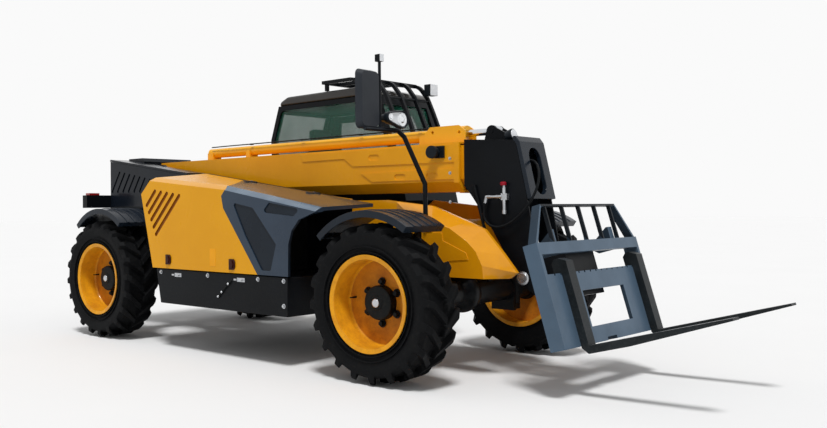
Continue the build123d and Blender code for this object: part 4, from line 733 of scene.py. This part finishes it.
# ---------------------------------------------------------------- wheels
# turned profiles are (radius, height) pairs, with heights along the axle from the rim's middle
HUB_DRUM = [(0.118, -0.017), (0.118, 0.034), (0.114, 0.044), (0.100, 0.050), (0.052, 0.053),
            (0.046, 0.060), (0.038, 0.062)]
HUB_PLUG = [(0.030, 0.060), (0.030, 0.070), (0.022, 0.075), (0.008, 0.077)]
VALVE = [(0.007, -0.02), (0.007, 0.015), (0.0045, 0.018), (0.0045, 0.045)]
VALVE_PLACE = (-0.245, 0.02, 0.0)
NUT_COUNT = 6
NUT_RING = 0.143
NUT_SIZE = (0.021, 0.026)             # a head's radius and height
NUT_SEAT = -0.008                     # the rim's disc, along the axle
MOULDED_RINGS = ((0.352, 0.1655, 0.004, 0.005), (0.385, 0.171, 0.005, 0.004))
RING_STEPS = 96
RING_ROOT = 0.012                     # a ring's foot lies this deep in the tyre's wall


def moulded_ring(bm, wheel, radius, out, wide, high):
    """Adds a raised ring on the tyre's wall, where out is the wall's height along the axle."""
    top = out + high - 0.002
    section = [(radius - wide, out - RING_ROOT), (radius - wide / 2, top),
               (radius + wide / 2, top), (radius + wide, out - RING_ROOT)]
    rings = [[bm.verts.new(wheel @ Vector((r * math.cos(a), r * math.sin(a), h)))
              for a in (math.tau * i / RING_STEPS for i in range(RING_STEPS))] for r, h in section]
    for i in range(RING_STEPS):
        j = (i + 1) % RING_STEPS
        for one, two in zip(rings, rings[1:] + rings[:1]):
            bm.faces.new((one[i], one[j], two[j], two[i]))


def dress_wheel(name, axle):
    """Nuts, hub drum with its plug, the rings moulded on the tyre's wall and the valve, on one wheel."""
    side = math.copysign(1.0, axle.y)
    body = "wheel_" + name
    wheel = facing((axle.x - X_MID, axle.y, axle.z), (0, side, 0))
    seat = wheel @ Matrix.Translation((0, 0, NUT_SEAT)) @ Matrix.Rotation(math.radians(30), 4, "Z")
    nuts = fasteners(seat, NUT_COUNT, NUT_SIZE, "cast_dark", ring=NUT_RING)
    fasten("wheel_nuts_" + name, [nuts], body)
    bm = bmesh.new()
    turned(bm, HUB_DRUM, wheel, 40)
    fitted("hub_drum_" + name, bm, body, "cast_dark", edge=0.002)
    bm = bmesh.new()
    turned(bm, HUB_PLUG, wheel)
    fitted("hub_plug_" + name, bm, body, "zinc_fitting")
    bm = bmesh.new()
    for ring in MOULDED_RINGS:
        moulded_ring(bm, wheel, *ring)
    fitted("tyre_rings_" + name, bm, body, "tyre_rubber", edge=0.0004)
    bm = bmesh.new()
    turned(bm, VALVE, wheel @ Matrix.Translation(VALVE_PLACE), steps=12)
    fitted("tyre_valve_" + name, bm, body, "cast_dark", edge=0.0005)


for name, axle in AXLE.items():
    dress_wheel(name, axle)


# ---------------------------------------------------------------- bolts on the boom and the skirt
PAD_BOLT_X = 1.747
PAD_BOLT_HEIGHTS = (1.546, 1.440, 1.230)
PAD_BOLT_SIDE = 0.2695                # the boom's side wall
SKIRT_BOLTS = ((0.83, 0.655), (0.83, 0.47), (-0.68, 0.655), (-0.05, 0.655), (0.55, 0.655))


def plain_bolts():
    """Bolts of the wear pads by the boom's mouth, on both sides, and of the side skirt."""
    pads = [fasteners(facing((PAD_BOLT_X, side * PAD_BOLT_SIDE, z), (0, side, 0)), 1, (0.009, 0.008),
                      "zinc_fitting") for side in (-1, 1) for z in PAD_BOLT_HEIGHTS]
    fasten("boom_pad_bolts", pads, "boom")
    skirt = [fasteners(facing((x, SKIRT_SIDE - 0.0005, z), (0, -1, 0)), 1, (0.013, 0.012), "zinc_fitting")
             for x, z in SKIRT_BOLTS]
    fasten("skirt_bolts", skirt, "chassis")


plain_bolts()


# ---------------------------------------------------------------- latches, knobs, plates
LATCHES = ((0.265, 0.757), (-0.560, 0.766))           # x and height on the hood
CATCHES = ((-0.439, 0.640), (0.357, 0.640))           # x and height on the skirt
BARE_PLATE = (0.025, 0.805)                           # x and height on the hood
PLATE_HALF = (0.036, 0.070)                           # half height and half length


def hood_fittings():
    """Two draw latches low on the hood, their catches on the skirt, and a bare plate between them."""
    bm = bmesh.new()
    for x, z in LATCHES:
        place = facing((x, HOOD_SIDE, z), (0, -1, 0))
        slab(bm, [(-0.034, -0.042), (0.020, -0.042), (0.036, -0.022), (0.036, 0.022), (0.020, 0.042),
                  (-0.034, 0.042)], place, -0.002, 0.010)
        slab(bm, [(-0.020, -0.030), (0.012, -0.030), (0.022, 0.0), (0.012, 0.030), (-0.020, 0.030)],
             place, 0.0105, 0.020)
    fitted("hood_latches", bm, "hood", "latch_brown")
    bm = bmesh.new()
    plate_x, plate_z = BARE_PLATE
    slab(bm, block(*PLATE_HALF), facing((plate_x, HOOD_SIDE, plate_z), (0, -1, 0)), -0.001, 0.0016)
    fitted("hood_bare_plate", bm, "hood", "yellow_boom_painted_light", edge=0.0006)
    bm = bmesh.new()
    for x, z in CATCHES:
        place = facing((x, SKIRT_SIDE, z), (0, -1, 0))
        slab(bm, block(0.045, 0.016), place, -0.001, 0.006)
        slab(bm, [(-0.075, -0.007), (-0.046, -0.007), (-0.046, 0.007), (-0.075, 0.007)], place, -0.001, 0.014)
        turned(bm, [(0.009, 0.0), (0.009, 0.020), (0.005, 0.023)],
               place @ Matrix.Translation((0.015, 0, 0)), 16)
    fitted("skirt_catches", bm, "chassis", "zinc_fitting")


hood_fittings()


def pair_outline(big, small, apart, rise, grow):
    """Outline round two circles of a lamp, as (x, y) points from the big one's middle."""
    span = math.hypot(apart, rise)
    lean = math.atan2(rise, apart)
    open_angle = math.acos((big - small) / span)
    far = [lean - open_angle + 2 * open_angle * i / 11 for i in range(12)]
    near = [lean + open_angle + (math.tau - 2 * open_angle) * i / 19 for i in range(20)]
    return ([(apart + (small + grow) * math.cos(a), rise + (small + grow) * math.sin(a)) for a in far]
            + [((big + grow) * math.cos(a), (big + grow) * math.sin(a)) for a in near])


HEADLAMPS = ((-0.640, -1, 1.815), (0.620, 1, 1.513))  # y, side and height of each pair's big lamp
LAMP_FACE = 1.6055                                    # front of the reflectors


def lamp_faces():
    """Reflector bowls with their bulbs in each headlamp's face, and a black bezel round each pair."""
    steps = 28
    bezel_steps = ((0.007, -0.030), (0.009, 0.0), (0.005, 0.012), (-0.003, 0.009), (-0.003, -0.002))
    bowl, bezel = bmesh.new(), bmesh.new()
    for y, side, z in HEADLAMPS:
        for dy, dz, radius in ((0.0, 0.0, 0.050), (side * 0.128, 0.012, 0.026)):
            place = facing((LAMP_FACE, y + dy, z + dz), (1, 0, 0))
            turned(bowl, [(radius, -0.004), (radius, 0.0005), (radius * 0.94, 0.0035), (radius * 0.5, 0.0015),
                          (radius * 0.42, 0.004), (radius * 0.2, 0.006)], place, steps)
        place = facing((LAMP_FACE - 0.001, y, z), (1, 0, 0))
        loops = [[bezel.verts.new(place @ Vector((u, v, deep)))
                  for u, v in pair_outline(0.056, 0.030, side * 0.133, 0.012, grow)]
                 for grow, deep in bezel_steps]
        count = len(loops[0])
        for one, two in zip(loops, loops[1:]):
            for i in range(count):
                bezel.faces.new((one[i], one[(i + 1) % count], two[(i + 1) % count], two[i]))
        bezel.faces.new(loops[0])
        bezel.faces.new(loops[-1])
    fitted("headlamp_bowls", bowl, "chassis", "lamp_bowl", edge=0.0004)
    fitted("headlamp_bezels", bezel, "chassis", "lamp_black_and_guard_shade", edge=0.001)


lamp_faces()


def boom_dress():
    """Pipe and clips along the extension barrel, the head's top lamp, and the cap on the hose coupling."""
    bm = bmesh.new()
    rod(bm, [(-1.20, -0.055, 1.7985), (-1.0, -0.060, 1.7995), (1.05, -0.060, 1.7995), (1.62, -0.055, 1.797)],
        0.0055, 10)
    for x in (-0.62, 0.05, 0.72, 1.32):
        slab(bm, block(0.016, 0.012), facing((x, -0.056, 1.795), (0, 0, 1), (0, 1, 0)), -0.004, 0.0095)
    fitted("barrel_pipe", bm, "boom", "cast_dark", edge=0.0008)
    bm = bmesh.new()
    place = facing((2.135, -0.060, 1.700), (1, 0, 0.25))
    turned(bm, [(0.020, -0.055), (0.040, -0.040), (0.046, -0.005), (0.046, 0.012), (0.040, 0.014)], place)
    rod(bm, [(2.10, -0.060, 1.60), (2.10, -0.060, 1.69)], 0.010)
    fitted("head_lamp", bm, "boom_slide", "lamp_black_and_guard_shade")
    bm = bmesh.new()
    turned(bm, [(0.039, 0.0135), (0.039, 0.017), (0.020, 0.019)], place)
    fitted("head_lamp_lens", bm, "boom_slide", "lamp_lens")
    bm = bmesh.new()
    turned(bm, [(0.017, 0.0), (0.022, 0.004), (0.022, 0.022), (0.014, 0.027)],
           facing((2.139, -0.193, 1.340), (0, 0, 1), (0, 1, 0)), 20)
    fitted("coupling_cap", bm, "boom_slide", "red_cap", edge=0.001)


boom_dress()


def head_dress():
    """Pipe down the head's rear edge, and the capped ends of the carriage's pin."""
    bm = bmesh.new()
    rod(bm, [(1.890, -0.180, 1.350), (1.906, -0.180, 1.290), (1.978, -0.180, 1.030), (2.035, -0.180, 0.955),
             (2.205, -0.180, 0.765)], 0.011)
    fitted("head_pipe", bm, "boom_slide", "hose_rubber", edge=0.001)
    bm = bmesh.new()
    for side in (-1, 1):
        turned(bm, [(0.046, -0.004), (0.046, 0.004), (0.036, 0.007), (0.034, 0.011), (0.010, 0.012)],
               facing((X_TILT - X_MID, side * 0.2175, Z_TILT), (0, side, 0)))
    fitted("carriage_pin_caps", bm, "carriage", "zinc_fitting", edge=0.0008)


head_dress()


def skirt_stay():
    """Folded prop under the skirt's front catch, with its three pins."""
    bm = bmesh.new()
    rod(bm, [(0.245, -1.079, 0.628), (0.160, -1.079, 0.556), (0.081, -1.079, 0.485)], 0.0055)
    fitted("skirt_prop", bm, "chassis", "cast_dark", edge=0.0008)
    bm = bmesh.new()
    for x, z in ((0.214, 0.602), (0.135, 0.533), (0.092, 0.495)):
        turned(bm, [(0.009, -0.003), (0.010, 0.004), (0.006, 0.009), (0.002, 0.010)],
               facing((x, -1.082, z), (0, -1, 0)), 16)
    fitted("skirt_prop_pins", bm, "chassis", "zinc_fitting", edge=0.0006)


skirt_stay()


def cab_dress():
    """Door handle and hinges, and the roof guard's cross bar."""
    bm = bmesh.new()
    rod(bm, [(0.60, 1.100, 1.18), (0.60, 1.110, 1.20), (0.60, 1.110, 1.34), (0.60, 1.100, 1.36)], 0.008)
    for z in (0.95, 1.95):
        turned(bm, [(0.013, -0.05), (0.013, 0.05)], facing((-0.600, 1.102, z), (0, 0, 1), (0, 1, 0)), 16)
    fitted("door_handle", bm, "door", "cast_dark", edge=0.001)
    bm = bmesh.new()
    rod(bm, [(0.705, 0.31, 2.143), (0.705, 0.905, 2.143)], 0.012)
    fitted("guard_cross_bar", bm, "chassis", "black_enamel", edge=0.001)


cab_dress()


# ---------------------------------------------------------------- stage and light
def build_stage():
    """A pale floor that meets an equally pale surround, soft light from above and from the front."""
    material, tree = blank_material("floor_pale_matt")
    place = put(tree, "ShaderNodeTexCoord").outputs["Object"]
    mottle = put(tree, "ShaderNodeTexNoise", {"Vector": place, "Scale": 0.7, "Detail": 3.0}).outputs[0]
    tone = mixed(tree, mottle, linear("#EDEDED"), linear("#F0F0F0"))
    shader = put(tree, "ShaderNodeBsdfPrincipled", {"Base Color": tone, "Roughness": 0.9,
                                                    "Specular IOR Level": 0.1})
    put(tree, "ShaderNodeOutputMaterial", {"Surface": shader.outputs[0]})
    mesh = bpy.data.meshes.new("floor")
    size = 90.0
    mesh.from_pydata([(-size, -size, 0), (size, -size, 0), (size, size, 0), (-size, size, 0)], [],
                     [(0, 1, 2, 3)])
    mesh.materials.append(material)
    floor = bpy.data.objects.new("floor", mesh)
    bpy.context.collection.objects.link(floor)

    world = bpy.data.worlds.new("surround")
    bpy.context.scene.world = world
    world.use_nodes = True
    tree = world.node_tree
    tree.nodes.clear()
    rays = put(tree, "ShaderNodeLightPath")
    straight = put(tree, "ShaderNodeMath", {0: rays.outputs["Is Camera Ray"],
                                            1: rays.outputs["Is Transmission Ray"]},
                   operation="MAXIMUM").outputs[0]
    seen = put(tree, "ShaderNodeMath", {0: straight, 1: rays.outputs["Is Glossy Ray"]},
               operation="MAXIMUM").outputs[0]
    light = put(tree, "ShaderNodeBackground", {"Color": (1, 1, 1, 1), "Strength": 0.44})
    pale = put(tree, "ShaderNodeBackground", {"Color": linear("#FAFAFA"), "Strength": 1.0})
    both = put(tree, "ShaderNodeMixShader", {0: seen, 1: light.outputs[0], 2: pale.outputs[0]})
    put(tree, "ShaderNodeOutputWorld", {"Surface": both.outputs[0]})

    sun = bpy.data.lights.new("key", "SUN")
    sun.energy = 2.3
    sun.angle = math.radians(12)
    key = bpy.data.objects.new("key", sun)
    key.rotation_euler = (math.radians(24), math.radians(10), math.radians(20))
    bpy.context.collection.objects.link(key)


build_stage()
